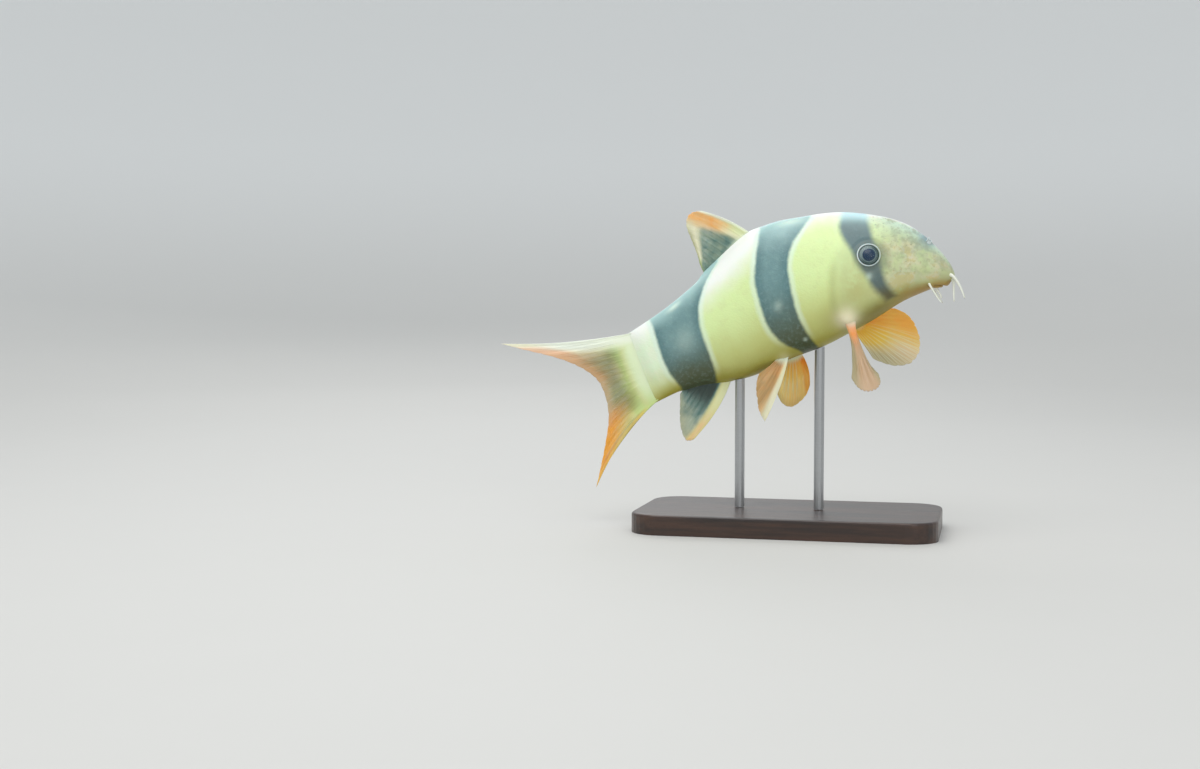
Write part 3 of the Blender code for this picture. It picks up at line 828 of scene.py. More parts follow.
def paint_freckles(finish, face, clouds, patches, flecks):
    """Mottles, warm spots and dark specks on the head, painted shade in the groove at the gill cover's edge,
    and darker skin low behind the gill cover.
    """
    down = finish.mark("down")
    along = finish.mark("along")
    mottle = along.fall(26.0, 36.0) * down.fall(0.56, 0.70) * down.rise(0.02, 0.1)
    finish.paint(patches.rise(0.44, 0.66) * mottle * 0.4, tint(160, 166, 126))
    warm = face * down.rise(0.28, 0.44) * (clouds + flecks * 0.5).rise(0.74, 0.9)
    finish.paint(warm * 0.5, tint(206, 192, 104))
    finish.paint(flecks.rise(0.5, 0.72) * mottle * 0.35, tint(150, 156, 124))
    specks = finish.cells(2.2).fall(0.06, 0.2) * clouds.rise(0.42, 0.6)
    finish.paint(specks * mottle * 0.45, tint(98, 100, 96))
    # Painted shade in the groove at the rear edge of the gill cover.
    groove = finish.mark("gill").peak(1.0, 3.0) * down.rise(0.38, 0.5) * down.fall(0.74, 0.86)
    finish.paint(groove * 0.3, tint(160, 158, 98))
    finish.paint(along.peak(46.0, 12.0) * down.peak(0.72, 0.14) * 0.35, tint(150, 144, 74))


def paint_underside(finish, skin, clouds, patches):
    """Belly, throat, jaw and lips, and the bare flesh at the roots of the paired fins. The olive of belly
    and throat is partly painted shade under the body.
    """
    down = finish.mark("down")
    along = finish.mark("along")
    # Olive belly and throat: partly the skin's own colour, partly painted shade under the body.
    finish.paint((down + (clouds - 0.5) * 0.08).rise(0.68, 0.92), skin.belly)
    throat = (down + (patches - 0.5) * 0.06).rise(0.69, 0.84) * along.peak(30.0, 18.0)
    finish.paint(throat * 0.75, tint(122, 108, 22))
    jaw = (down + (patches - 0.5) * 0.08).rise(0.69, 0.84) * along.fall(14.0, 28.0)
    finish.paint(jaw.most(finish.mark("lips")) * 0.85, skin.lips)
    finish.paint(finish.mark("flesh") * 0.85, tint(252, 244, 208))


def paint_bands(finish, skin, clouds, patches, flecks):
    """The bands: dark along their edges, cloudy inside, with a paler rim outside, painted lighter near the
    back by light from above and darker near the belly, partly by shade.
    """
    down = finish.mark("down")
    depth = finish.mark("band") + (clouds - 0.5) * 1.2 + (flecks - 0.5) * 0.5
    first = finish.mark("along").fall(42.0, 48.0)
    rim = depth.rise(-2.7, -0.9) * down.fall(0.62, 0.86) * (1 - first)
    finish.paint(rim * (0.8 - down.rise(0.2, 0.5) * 0.3), skin.edge)
    # Painted light and shade: the bands grow lighter towards the back and darker towards the belly, partly
    # their own colour.
    lean = down + (clouds - 0.5) * 0.12
    dark = finish.mix(lean.rise(0.05, 0.33), skin.band_pale_and_lit, skin.band)
    dark = finish.mix(lean.rise(0.44, 0.80), dark, skin.band_low)
    core = depth.rise(0.5, 4.5) * (patches * 0.8 + 0.2) * down.fall(0.4, 0.7) * (1 - first)
    dark = finish.mix(core * 0.30, dark, skin.band_pale_and_lit)
    dark = finish.mix(flecks.rise(0.45, 0.75) * 0.12, dark, skin.band_pale_and_lit)
    # The band through the eye is paler on top, partly painted light from above, greyer in the middle and
    # brown at its end.
    dark = finish.mix(first * down.fall(0.08, 0.22) * 0.85, dark, tint(210, 242, 246))
    dark = finish.mix(first * down.rise(0.12, 0.24) * 0.5, dark, tint(96, 106, 106))
    dark = finish.mix(first * down.rise(0.62, 0.76) * 0.8, dark, tint(98, 90, 36))
    # The pale patches, some of them painted highlights.
    dark = finish.mix(finish.mark("patch"), dark, skin.edge)
    finish.paint(depth.rise(-0.8 - first * 0.6, 0.8 + first * 0.8), dark)


def paint_sockets(finish):
    """Round each eye: a ring of painted shade, deepest below and ahead, the pale rim of the socket with a
    painted highlight strongest above and behind, and the dark inside of it.
    """
    eye = finish.mark("eye")
    lit = finish.mark("lit")
    # Painted shade round the eye, deeper on the side away from the light.
    finish.paint(eye.fall(5.0, 11.0 - lit * 4.4) * (0.6 - lit * 0.25), tint(92, 102, 88))
    # The pale rim, partly its own colour, partly a painted highlight on its lit side.
    sheen = finish.noise(1.2) * 0.4 + lit * 0.6 + 0.32
    finish.paint(eye.peak(4.32, 0.38) * sheen, tint(230, 244, 242))
    finish.paint(eye.fall(3.6, 4.0), tint(118, 136, 134))


def skin_finish(skin):
    """Pale skin with three dark bands, a freckled head, orange lips and fine scales."""
    finish = Finish("loach_skin")
    clouds = finish.noise(7.0, 3.0)
    patches = finish.noise(3.4, 4.0, 0.6)
    flecks = finish.noise(1.4, 3.0, 0.6)
    paint_flanks(finish, skin, clouds, patches)
    face = paint_head(finish, skin, clouds, patches)
    paint_freckles(finish, face, clouds, patches, flecks)
    paint_underside(finish, skin, clouds, patches)
    paint_bands(finish, skin, clouds, patches, flecks)
    paint_sockets(finish)
    finish.shade(finish.noise(18.0, 4.0) * 0.12 + flecks * 0.10 - 0.05, 0.72)
    normal = finish.relief(flecks, 0.05)
    normal = finish.relief(finish.cells(0.75) * finish.mark("along").rise(36, 48), 0.05, normal)
    return finish.done(
        base_color=finish.colour, roughness=0.34 + flecks * 0.2, normal=normal, coat_weight=0.16,
        coat_roughness=0.12, subsurface_weight=skin.soft, subsurface_scale=0.002,
    )


class LOACH_OT_skin(Operator):
    """Makes the whole skin from snout to tail root"""

    bl_idname = "loach.skin"
    bl_label = "Skin"

    def execute(self, context):
        skin = context.scene.loach_skin
        piece("skin", skin_shape(skin), skin_finish(skin), ("head", "torso", "tail_stem"))
        return {"FINISHED"}


def eye_finish(eye):
    """A dark blue pupil in a thin bright ring, on a grey iris."""
    finish = Finish("loach_eye")
    reach = finish.mark("reach")
    streaks = finish.noise(0.5, 3.0)
    pupil = eye.pupil / MM
    finish.colour = finish.mix(streaks.rise(0.4, 0.8) * 0.3, eye.iris, tint(112, 128, 126))
    finish.paint(finish.mark("lit").rise(0.4, 1.0) * 0.6, tint(160, 178, 174))
    finish.paint(reach.peak(pupil + 0.36, 0.2), eye.ring)
    finish.paint(reach.fall(pupil - 0.1, pupil + 0.15), tint(24, 56, 84))
    return finish.done(
        base_color=finish.colour, roughness=0.35, normal=finish.relief(streaks, 0.03),
        coat_weight=0.2, coat_roughness=0.03,
    )


def clear_finish():
    """The clear front of the eye."""
    finish = Finish("loach_cornea")
    return finish.done(base_color=(0.01, 0.012, 0.015), roughness=0.03, alpha=0.10, ior=1.36)


def eye_shape(side, pupil, shrink, dish):
    """A flattened ball, with a hollow for the iris and the lens standing in the pupil."""
    shape = bmesh.new()
    bmesh.ops.create_uvsphere(shape, u_segments=64, v_segments=48, radius=1.0)
    points = points_of(shape)
    reach = np.hypot(points[:, 0], points[:, 1]) * EYE_RADIUS
    front = points[:, 2] > 0
    height = points[:, 2] * EYE_DEPTH
    hollow = 0.28 * fade(reach, 3.0, 3.8) - 0.22 * fade(reach, 0.0, pupil) ** 0.5
    hollow += 0.14 * hill(reach, pupil + 0.1, 0.25)
    height = np.where(front, height - dish * hollow, height)
    local_points = np.stack((points[:, 0] * EYE_RADIUS, points[:, 1] * EYE_RADIUS, height), axis=-1)
    place = eye_places(EYE_SINK)[side]
    lit = 0.5 - 0.36 * (points[:, 0] + side * points[:, 1]) * EYE_RADIUS / np.maximum(reach, 0.1)
    keep_marks(shape, {"reach": reach, "lit": lit})
    move_points(shape, world(local_points * shrink, place))
    return shape


class LOACH_OT_eyes(Operator):
    """Makes both eyes, each a ball under a clear front"""

    bl_idname = "loach.eyes"
    bl_label = "Eyes"

    def execute(self, context):
        eye = context.scene.loach_eye
        ball = eye_finish(eye)
        clear = clear_finish()
        for name, side in SIDES:
            inner = eye_shape(side, eye.pupil / MM, shrink=0.965, dish=1.0)
            piece(f"eye_ball_{name}", inner, ball, (f"eye_{name}",))
            outer = eye_shape(side, eye.pupil / MM, shrink=1.0, dish=0.0)
            piece(f"eye_front_{name}", outer, clear, (f"eye_{name}",))
        return {"FINISHED"}


def turned(shape, profile, sides=20):
    """A round piece from a profile of radius and height, turned about Z."""
    verts = [shape.verts.new((radius, 0, height)) for radius, height in profile]
    edges = [shape.edges.new(pair) for pair in zip(verts, verts[1:])]
    bmesh.ops.spin(shape, geom=verts + edges, cent=(0, 0, 0), axis=(0, 0, 1), angle=math.tau,
                   steps=sides, use_merge=True)
    bmesh.ops.remove_doubles(shape, verts=shape.verts[:], dist=0.0001)
    bmesh.ops.recalc_face_normals(shape, faces=shape.faces[:])


def nostril_finish():
    """Skin of the nostrils, a shade greyer than the snout."""
    finish = Finish("loach_nostril")
    grain = finish.noise(0.6, 3.0)
    colour = finish.mix(grain, tint(186, 206, 210), tint(240, 244, 238))
    normal = finish.relief(grain, 0.05)
    return finish.done(base_color=colour, roughness=0.35, normal=normal, coat_weight=0.25)


class LOACH_OT_nostrils(Operator):
    """Makes the nostrils, each a short tube with a flap behind it"""

    bl_idname = "loach.nostrils"
    bl_label = "Nostrils"

    def execute(self, context):
        skin = nostril_finish()
        for name, side in SIDES:
            place = surface_frame(NOSTRIL_DISTANCE, side * NOSTRIL_ANGLE)
            # The tube stays round. The flap is flat, stands behind it and leans to the rear as it rises.
            shapes = (("tube", NOSTRIL_TUBE, 1.0, 0.0, 0.0), ("flap", NOSTRIL_FLAP, 0.36, -0.95, -0.15))
            for kind, profile, squash, aft, lean in shapes:
                shape = bmesh.new()
                turned(shape, profile)
                points = points_of(shape)
                points[:, 0] = points[:, 0] * squash + aft + lean * points[:, 2]
                move_points(shape, world(points, place))
                piece(f"nostril_{kind}_{name}", shape, skin)
        return {"FINISHED"}


class Fin:
    """A fin: its rays, root line and margin, the bows of both edges, and the hollows across it.

    Its relief is the share of their full height that its rays have.
    """

    def __init__(self, rays, root, margin, lead=(0, 0, 0), trail=(0, 0, 0), hollow=(0, 0, 0), hollows=1,
                 relief=1.0):
        self.rays = rays
        self.root = Smooth(root)
        self.margin = Smooth(margin)
        self.lead = np.array(lead)
        self.trail = np.array(trail)
        self.hollow = np.array(hollow)
        self.hollows = hollows
        self.relief = relief

    def sheet(self, s, t):
        """Points of the middle surface, s across the rays and t along them."""
        foot = self.root(s)
        tip = self.margin(s)
        arc = 4 * t * (1 - t)
        bow = np.multiply.outer((1 - s) ** 2 * arc, self.lead) + np.multiply.outer(s**2 * arc, self.trail)
        cup = np.multiply.outer(np.sin(self.hollows * math.pi * s) * np.sin(math.pi * t / 2), self.hollow)
        return foot + (tip - foot) * t[..., None] + bow + cup


def ray_crest(s, t, rays):
    """1 on a ray and 0 between rays; each ray parts in two, and again near the margin."""
    offset = np.abs((s * rays) % 1.0 - 0.5)
    first = 0.25 * ease(t, 0.34, 1.05)
    second = 0.125 * ease(t, 0.66, 1.08)
    gap = np.abs(np.abs(offset - first) - second)
    width = 0.17 - 0.115 * ease(t, 0.0, 0.95)
    return hill(gap, 0.0, width)


def back_root(first, last, angle, shift):
    """A root line along the back or belly."""
    shares = np.array((0.0, 0.25, 0.5, 0.75, 1.0))
    return flesh(first + (last - first) * shares, angle) + np.array(shift)


def tail_root():
    """A root line round the end of the tail stem, sunk into it."""
    turns = np.linspace(0, math.pi, 13)
    return flesh(BODY_LENGTH - 3.6, turns) * (1, 0, 1) + np.outer(np.cos(turns), (0.1, 0, -0.5))


# The fins. Their rays run from the leading edge, which holds the first points of both lines, to the rear.
FINS = {
    "dorsal_fin": Fin(11, back_root(*DORSAL_ROOT, 0.0, (0.9, 0, -1.6)), (
        (-36.5, 0, 127.9), (-40.4, 0, 127.2), (-42.4, 0, 123.9), (-41.6, 0, 119.5),
        (-39.6, 0, 114.8), (-37.8, 0, 110.5), (-36.6, 0, 106.4),
    ), lead=(-0.4, 0, 1.7), hollow=(0, 0.6, 0)),
    "anal_fin": Fin(8, back_root(*ANAL_ROOT, math.pi, (0.4, 0, 1.6)), (
        (-39.0, 0, 35.2), (-42.2, 0, 34.9), (-44.2, 0, 39.0), (-44.8, 0, 44.0),
        (-44.7, 0, 49.0), (-44.6, 0, 53.6),
    ), lead=(1.6, 0, -1.0), hollow=(0, 0.5, 0)),
    "tail_fin": Fin(20, tail_root(), (
        (-118.3, 0, 74.2), (-109.0, 0, 71.7), (-100.5, 0, 69.7), (-92.5, 0, 67.4),
        (-85.8, 0, 64.5), (-81.0, 0, 61.4), (-77.6, 0, 57.6), (-75.0, 0, 51.0), (-74.1, 0, 43.5),
        (-74.8, 0, 36.5), (-76.0, 0, 29.5), (-77.5, 0, 22.0), (-79.2, 0, 14.3),
    ), lead=(0, 0, -1.6), trail=(-2.1, 0, 1.9), hollow=(0, -0.8, 0), hollows=2),
    "pelvic_fin_right": Fin(8, ((0.2, -4.2, 70.2), (-2.0, -4.6, 69.4), (-4.2, -4.8, 68.4)), (
        (-8.4, -10.2, 44.0), (-10.6, -10.9, 47.5), (-11.6, -11.4, 53.0),
        (-12.0, -11.2, 58.0), (-11.0, -9.8, 62.6),
    ), lead=(1.2, 0, 0), hollow=(0.4, -0.6, 0)),
    "pelvic_fin_left": Fin(8, ((3.6, 4.2, 71.4), (1.0, 4.6, 70.4), (-1.8, 4.8, 69.2)), (
        (6.8, 10.8, 57.4), (5.2, 11.8, 53.4), (2.2, 12.2, 49.8), (-1.2, 12.2, 48.2),
        (-4.6, 11.8, 50.2), (-6.6, 10.8, 54.5),
    ), lead=(1.4, 0, 0), hollow=(0, 0.8, 0)),
    "pectoral_fin_right": Fin(13, ((26.4, -7.0, 87.2), (23.7, -7.7, 87.2), (20.9, -8.2, 87.0)), (
        (36.6, -19.2, 63.8), (37.6, -20.0, 60.6), (36.2, -20.5, 58.0), (32.6, -20.6, 57.0),
        (29.0, -20.2, 58.4), (26.4, -19.0, 61.8),
    ), lead=(-3.0, 0, -1.0), trail=(2.4, 0, 0), hollow=(0, -1.2, 0), relief=0.35),
    "pectoral_fin_left": Fin(14, ((24.8, 7.4, 85.4), (23.8, 7.5, 84.0), (22.8, 7.3, 82.8)), (
        (40.8, 16.4, 88.4), (45.8, 19.0, 85.6), (49.2, 20.9, 79.6), (50.2, 21.4, 72.6),
        (47.0, 20.8, 66.6), (39.6, 18.4, 65.4), (32.0, 15.0, 68.2),
    ), lead=(-0.4, 0, 1.0), hollow=(0, 1.0, 0), relief=0.8),
}
# Fins that stand for more than one solid of the part.
SPLIT_FINS = {"tail_fin": ("tail_fin_upper", "tail_fin_lower")}


def dorsal_marks(s, t):
    """A pale front edge with orange behind it, a dark middle and a clear rear."""
    back = s - 0.2 * t
    white = 0.6 * fade(t, 0.08, 0.18) * (1 - 0.7 * ease(s, 0.25, 0.5))
    white = np.maximum(white, 0.7 * fade(s, 0.02, 0.06))
    white = np.maximum(white, 0.2 * fade(back, 0.12, 0.22) * fade(t, 0.2, 0.5))
    orange = ease(s, 0.03, 0.10) * fade(s, 0.2, 0.42) * ease(t, 0.2, 0.62) * 0.8
    tip = ease(t, 0.7, 0.85) * ease(s, 0.02, 0.1) * fade(s, 0.2, 0.4)
    dark = 0.88 * ease(back, 0.12, 0.24) * ease(t, 0.05, 0.14) * fade(t, 0.64, 0.84)
    lime = np.maximum(ease(s, 0.8, 0.95), 0.6 * fade(s, 0.1, 0.2) * fade(t, 0.3, 0.6))
    clear = 0.6 * ease(t, 0.80, 1.0) * ease(s, 0.3, 0.6) + 0.15
    return {
        "white": white,
        "lime": lime,
        "orange": np.maximum(orange, 0.8 * tip),
        "dark": dark * (1 - 0.5 * ease(s, 0.9, 1.0)),
        "clear": np.maximum(clear, 0.5 * ease(s, 0.84, 0.96)),
    }


def anal_marks(s, t):
    """A yellow-green front edge with a little orange, and dark skin behind it, with painted shade that makes
    it darkest at the root.
    """
    lime = fade(s, 0.12, 0.3)
    return {
        "white": 0.5 * fade(s, 0.10, 0.24) * (1 - 0.6 * ease(t, 0.2, 0.6)),
        "lime": lime,
        "gold": 0.35 * lime + 0.3 * ease(t, 0.8, 1.0),
        "orange": 0.6 * hill(s, 0.10, 0.10) * ease(t, 0.4, 0.75),
        # Above 1 the dark mark paints shade, deepest at the root.
        "dark": ease(s, 0.14, 0.28) * (1.6 - 0.6 * ease(t, 0.2, 0.6) - 0.35 * ease(t, 0.5, 1.0)),
        "clear": 0.3 * ease(s, 0.3, 0.6) * ease(t, 0.3, 0.7),
    }


def tail_marks(s, t):
    """White along the upper edge, lime at the root, dusky in the fork, pink above and orange below."""
    fin = FINS["tail_fin"]
    past = t * np.linalg.norm(fin.margin(s) - fin.root(s), axis=-1) - 3.0 - 2.5 * np.sin(math.pi * s)
    lobe = np.abs(s - 0.5) * 2
    below = ease(s, 0.45, 0.6)
    above = 1 - below
    inner = fade(lobe, 0.3, 0.8)
    outer = ease(lobe, 0.72, 0.9)

    clear = 0.9 * inner * ease(past, 0.0, 8.0) * (1 - 0.35 * ease(t, 0.75, 0.95))
    clear = np.maximum(clear, 0.3 * below * ease(past, 5.0, 12.0) * fade(t, 0.5, 0.9))
    white = 0.7 * fade(past, -2.0, 3.0) * fade(s, 0.6, 0.95)
    edge = fade(s, 0.04 + 0.14 * (1 - t), 0.10 + 0.32 * (1 - t))
    white = np.maximum(white, edge * (1 - 0.85 * ease(t, 0.6, 0.9)))
    lime = fade(past, 3.5, 9.0) + 0.6 * below * fade(t, 0.4, 0.8)
    gold = 0.85 * ease(t, 0.25, 0.7) * ease(lobe, 0.1, 0.5)
    gold = below * np.maximum(gold, 0.6 * outer * ease(t, 0.1, 0.25))
    pink = 0.8 * above * ease(s, 0.12, 0.3) * ease(t, 0.36, 0.7)
    pink = np.maximum(pink, 0.8 * ease(t, 0.7, 0.95) * fade(lobe, 0.4, 0.8))
    pink = np.maximum(pink, above * ease(t, 0.6, 0.8) * ease(s, 0.02, 0.08))
    pink = np.maximum(pink, 0.15 * hill(past, 1.0, 1.6) * fade(lobe, 0.6, 0.9))
    orange = below * ease(t, 0.42, 0.9) * ease(lobe, 0.2, 0.5) * (1 - 0.6 * ease(lobe, 0.8, 1.0))
    orange = 0.95 * orange + above * 0.2 * ease(t, 0.6, 0.9) * ease(s, 0.04, 0.2)
    # A painted shadow in the fold along the outer rays of the lower lobe.
    dark = 0.3 * hill(s, 0.91, 0.014) * ease(t, 0.15, 0.3) * fade(t, 0.8, 1.0)
    return {
        "white": white, "lime": lime, "gold": gold, "pink": pink, "orange": orange, "dark": dark,
        "clear": clear,
    }


def right_pelvic_marks(s, t):
    """A white root and front edge, and clear skin with some pink and orange."""
    edge = 0.25 * fade(s, 0.08, 0.28) * (1 - 0.8 * ease(t, 0.75, 1.0))
    return {
        "white": np.maximum(fade(t, 0.04, 0.22), edge),
        "gold": 0.15 + 0.15 * ease(s, 0.1, 0.3),
        "pink": 0.4 * ease(s, 0.1, 0.3),
        "orange": 0.35 * ease(s, 0.12, 0.3),
        "clear": 0.75 * ease(s, 0.15, 0.4),
    }


def left_pelvic_marks(s, t):
    """Golden skin with an orange front edge and pale rays behind it."""
    rays = ray_crest(s, t, FINS["pelvic_fin_left"].rays) * ease(s, 0.25, 0.5)
    rays = rays * (1 - 0.7 * ease(t, 0.6, 0.95))
    return {
        "white": np.maximum(fade(t, 0.04, 0.22), 0.45 * rays),
        "gold": 0.9,
        "orange": np.maximum(0.95 * fade(s, 0.12, 0.36), 0.3 * fade(s, 0.5, 1.0)),
        "clear": 0.4 * ease(t, 0.80, 1.0) * ease(s, 0.2, 0.5),
    }


def right_pectoral_marks(s, t):
    """Pinkish skin, orange near the root and clearer at both edges."""
    middle = fade(np.abs(s - 0.5), 0.1, 0.45)
    return {
        "white": 0.6 * fade(t, 0.12, 0.22),
        "orange": 0.7 * hill(t, 0.28, 0.10),
        "pink": 0.7 + 0.3 * np.maximum(middle, fade(t, 0.1, 0.3)),
        "clear": (0.4 + 0.3 * (1 - middle)) * ease(t, 0.2, 0.45),
    }


def left_pectoral_marks(s, t):
    """Golden skin, orange in front, and rosy, clear and pale-rayed behind."""
    rosy = ease(s, 0.42, 0.62) * ease(t, 0.5, 0.85)
    rays = ray_crest(s, t, FINS["pectoral_fin_left"].rays) * ease(t, 0.2, 0.4) * ease(s, 0.3, 0.5)
    return {
        "white": np.maximum(fade(t, 0.04, 0.22), 0.3 * rays),
        "gold": 1 - 0.5 * rosy,
        "pink": 0.5 * rosy,
        "orange": np.maximum(hill(s, 0.24, 0.18) * ease(t, 0.4, 0.75), 0.85 * fade(s, 0.25, 0.6)),
        "clear": 0.05 + 0.65 * ease(s, 0.5, 0.85) * ease(t, 0.35, 0.85),
    }


# How white, lime, gold, pink, orange, dark and clear each fin is, across its rays and along them.
FIN_MARKS = {
    "dorsal_fin": dorsal_marks,
    "anal_fin": anal_marks,
    "tail_fin": tail_marks,
    "pelvic_fin_right": right_pelvic_marks,
    "pelvic_fin_left": left_pelvic_marks,
    "pectoral_fin_right": right_pectoral_marks,
    "pectoral_fin_left": left_pectoral_marks,
}


def fin_marks(name, s, t):
    """All the marks of a fin at each point, from 0 to 1."""
    found = FIN_MARKS[name](s, t)
    marks = ("white", "lime", "gold", "pink", "orange", "dark", "clear")
    return {mark: np.zeros(np.shape(s)) + found.get(mark, 0.0) for mark in marks}


def fin_half(name, fins, s, t, crest):
    """Half the thickness of a fin: thin skin, raised rays, a stouter root and front edge."""
    web = fins.root_half + (fins.margin_half - fins.root_half) * np.minimum(1.0, t * 1.8)
    half = (web + fins.ray_rise * FINS[name].relief * crest * (1 - 0.65 * t)) / MM
    lead = fade(s, 0.0, 0.06)
    if name == "tail_fin":
        stem_half = fins.tail_half / MM * np.sin(math.pi * s) ** 0.7
        half += np.maximum(stem_half - half, 0.0) * fade(t, 0.1, 0.5)
        lead += ease(s, 0.94, 1.0)
    elif not name.startswith(("dorsal", "anal")):
        half += 0.5 * fade(t, 0.0, 0.28) * np.sin(math.pi * s) ** 0.5
    return (half + lead * 0.16 * (1 - 0.6 * t)) * (0.35 + 0.65 * ease(1 - t, 0.0, 0.02))


def fin_shape(name, fins, columns_a_ray=14, rows=72):
    """A thin closed fin with branching rays, wavy skin between them and a notched margin."""
    fin = FINS[name]
    rays = fin.rays
    draw = np.random.default_rng(sum(map(ord, name)))
    drift = draw.uniform(0, math.tau, 4)
    notch = draw.uniform(0.3, 1.0, rays + 1)

    def bent(s, t):
        """Points of the waving middle surface, its margin notched between the rays."""
        ray = np.minimum((s * rays).astype(int), rays)
        between = np.abs((s * rays) % 1.0 - 0.5) * 2
        short = 0.02 * notch[ray] * between**3 * ease(t, 0.7, 1.0) * ease(s, 0.0, 0.1)
        points = fin.sheet(s, t * (1 - short))
        wave = 0.5 * np.sin(s * 9 + drift[0]) * np.sin(t * 4 + drift[1])
        wave += 0.16 * np.sin(s * rays * 3.1 + drift[2]) * np.sin(t * 7 + drift[3])
        across = unit(fin.sheet(s + 0.01, t) - fin.sheet(s - 0.01, t))
        along = unit(fin.sheet(s, t + 0.01) - fin.sheet(s, t - 0.01))
        return points + unit(np.cross(across, along)) * (wave * ease(t, 0.1, 0.7))[..., None]

    shape = bmesh.new()
    bmesh.ops.create_grid(shape, x_segments=columns_a_ray * rays, y_segments=rows, size=0.5)
    grown = bmesh.ops.extrude_face_region(shape, geom=shape.faces[:], use_keep_orig=True)
    near = {item for item in grown["geom"] if isinstance(item, bmesh.types.BMVert)}
    side = np.array([1.0 if vert in near else -1.0 for vert in shape.verts])
    s, t = grid_values(shape)
    step = 0.002
    across = bent(np.minimum(s + step, 1), t) - bent(np.maximum(s - step, 0), t)
    along = bent(s, np.minimum(t + step, 1)) - bent(s, np.maximum(t - step, 0))
    normal = unit(np.cross(across, along))
    crest = ray_crest(s, t, rays)
    half = fin_half(name, fins, s, t, crest)
    points = bent(s, t) + normal * (half * side)[:, None]
    keep_marks(shape, {"out": t, "ray": crest, **fin_marks(name, s, t)})
    move_points(shape, points)
    bmesh.ops.recalc_face_normals(shape, faces=shape.faces[:])
    return shape


def fin_finish(fins):
    """Clear skin on jointed rays, with white, gold, pink, orange and dark parts."""
    finish = Finish("loach_fin")
    ray = finish.mark("ray")
    out = finish.mark("out")
    drift = (finish.noise(3.0, 3.0) - 0.5) * 0.5
    clear = finish.mark("clear")
    white = finish.mark("white")
    finish.colour = finish.mix(finish.mark("lime"), fins.cream, fins.lime)
    finish.paint(finish.mark("gold"), fins.gold)
    finish.paint(finish.mark("pink"), fins.pink)
    finish.paint(clear * (1 - ray * 0.1), fins.membrane)
    orange = finish.mark("orange")
    finish.paint(orange + orange.rise(0.0, 0.5) * drift, fins.orange)
    dark = finish.mark("dark")
    dark = dark + dark.rise(0.0, 0.5) * drift
    finish.paint(dark, fins.dark)
    # Painted shade where the dark mark passes 1, as at the anal fin's root.
    finish.paint(dark.rise(0.9, 1.6) * 0.85, tint(34, 44, 38))
    finish.paint(white, fins.white)
    web = (1 - ray) * out.rise(0.1, 0.5) * (1 - white)
    finish.shade(web * (dark * 0.25 + 0.10), 0.72)
    joints = (out * 300.0).wave().rise(0.55, 1.0) * ray * out.rise(0.25, 0.45)
    finish.shade(joints * 0.25, 0.7)
    normal = finish.relief(finish.noise(0.8, 3.0), 0.04)
    normal = finish.relief(1 - joints, 0.03, normal)
    return finish.done(
        base_color=finish.colour, roughness=0.38, alpha=0.99 - clear * (1 - ray * 0.3) * 0.2, normal=normal,
        coat_weight=0.15, coat_roughness=0.2, subsurface_weight=fins.soft, subsurface_scale=0.002,
        subsurface_radius=(1.0, 0.95, 0.85),
    )


class LOACH_OT_fins(Operator):
    """Makes all the fins, with their rays"""

    bl_idname = "loach.fins"
    bl_label = "Fins"

    def execute(self, context):
        fins = context.scene.loach_fins
        finish = fin_finish(fins)
        for name in FINS:
            solids = SPLIT_FINS.get(name, (name,))
            piece(f"{name}_fine", fin_shape(name, fins), finish, solids)
        return {"FINISHED"}


def feeler_finish(feelers):
    """Soft pale feelers."""
    finish = Finish("loach_feeler")
    grain = finish.noise(0.7, 3.0)
    colour = finish.mix(grain * 0.4, feelers.colour, tint(214, 206, 172))
    return finish.done(base_color=colour, roughness=0.4, normal=finish.relief(grain, 0.05), coat_weight=0.3)


def feeler_tube(shape, centres, radius, sides=12):
    """A round tapering tube along a line, closed at both ends."""
    ring = bmesh.ops.create_circle(shape, segments=sides, radius=1.0, cap_ends=False)["verts"]
    rings = [ring]
    edges = list(shape.edges)
    for _ in centres[1:]:
        grown = bmesh.ops.extrude_edge_only(shape, edges=edges)["geom"]
        rings.append([item for item in grown if isinstance(item, bmesh.types.BMVert)])
        edges = [item for item in grown if isinstance(item, bmesh.types.BMEdge) and item.is_boundary]
    along = unit(np.gradient(centres, axis=0))
    aside = unit(np.cross(along, (0.0, 1.0, 0.3)))
    upward = np.cross(along, aside)
    for verts, centre, wide, first, second in zip(rings, centres, radius, aside, upward):
        for vert in verts:
            turn = math.atan2(vert.co.y, vert.co.x)
            vert.co = placed(centre + (first * math.cos(turn) + second * math.sin(turn)) * wide)
    close_ends(shape)


class LOACH_OT_feelers(Operator):
    """Makes the eight feelers round the mouth"""

    bl_idname = "loach.feelers"
    bl_label = "Feelers"

    def execute(self, context):
        feelers = context.scene.loach_feelers
        finish = feeler_finish(feelers)
        share = np.linspace(0, 1, 29)
        for name, (distance, degrees, thick, way) in BARBELS.items():
            angle = math.radians(degrees)
            root = flesh(distance, angle)
            normal = outward(distance, angle)
            line = Smooth([root - normal * 1.2, root + normal * 1.1, *way])
            for side_name, side in SIDES:
                centres = line(share) * (1, side, 1)
                radius = (feelers.tip + (feelers.root * thick - feelers.tip) * (1 - share)) / MM
                shape = bmesh.new()
                feeler_tube(shape, centres, radius)
                piece(f"{name}_{side_name}_fine", shape, finish, (f"{name}_{side_name}",))
        return {"FINISHED"}


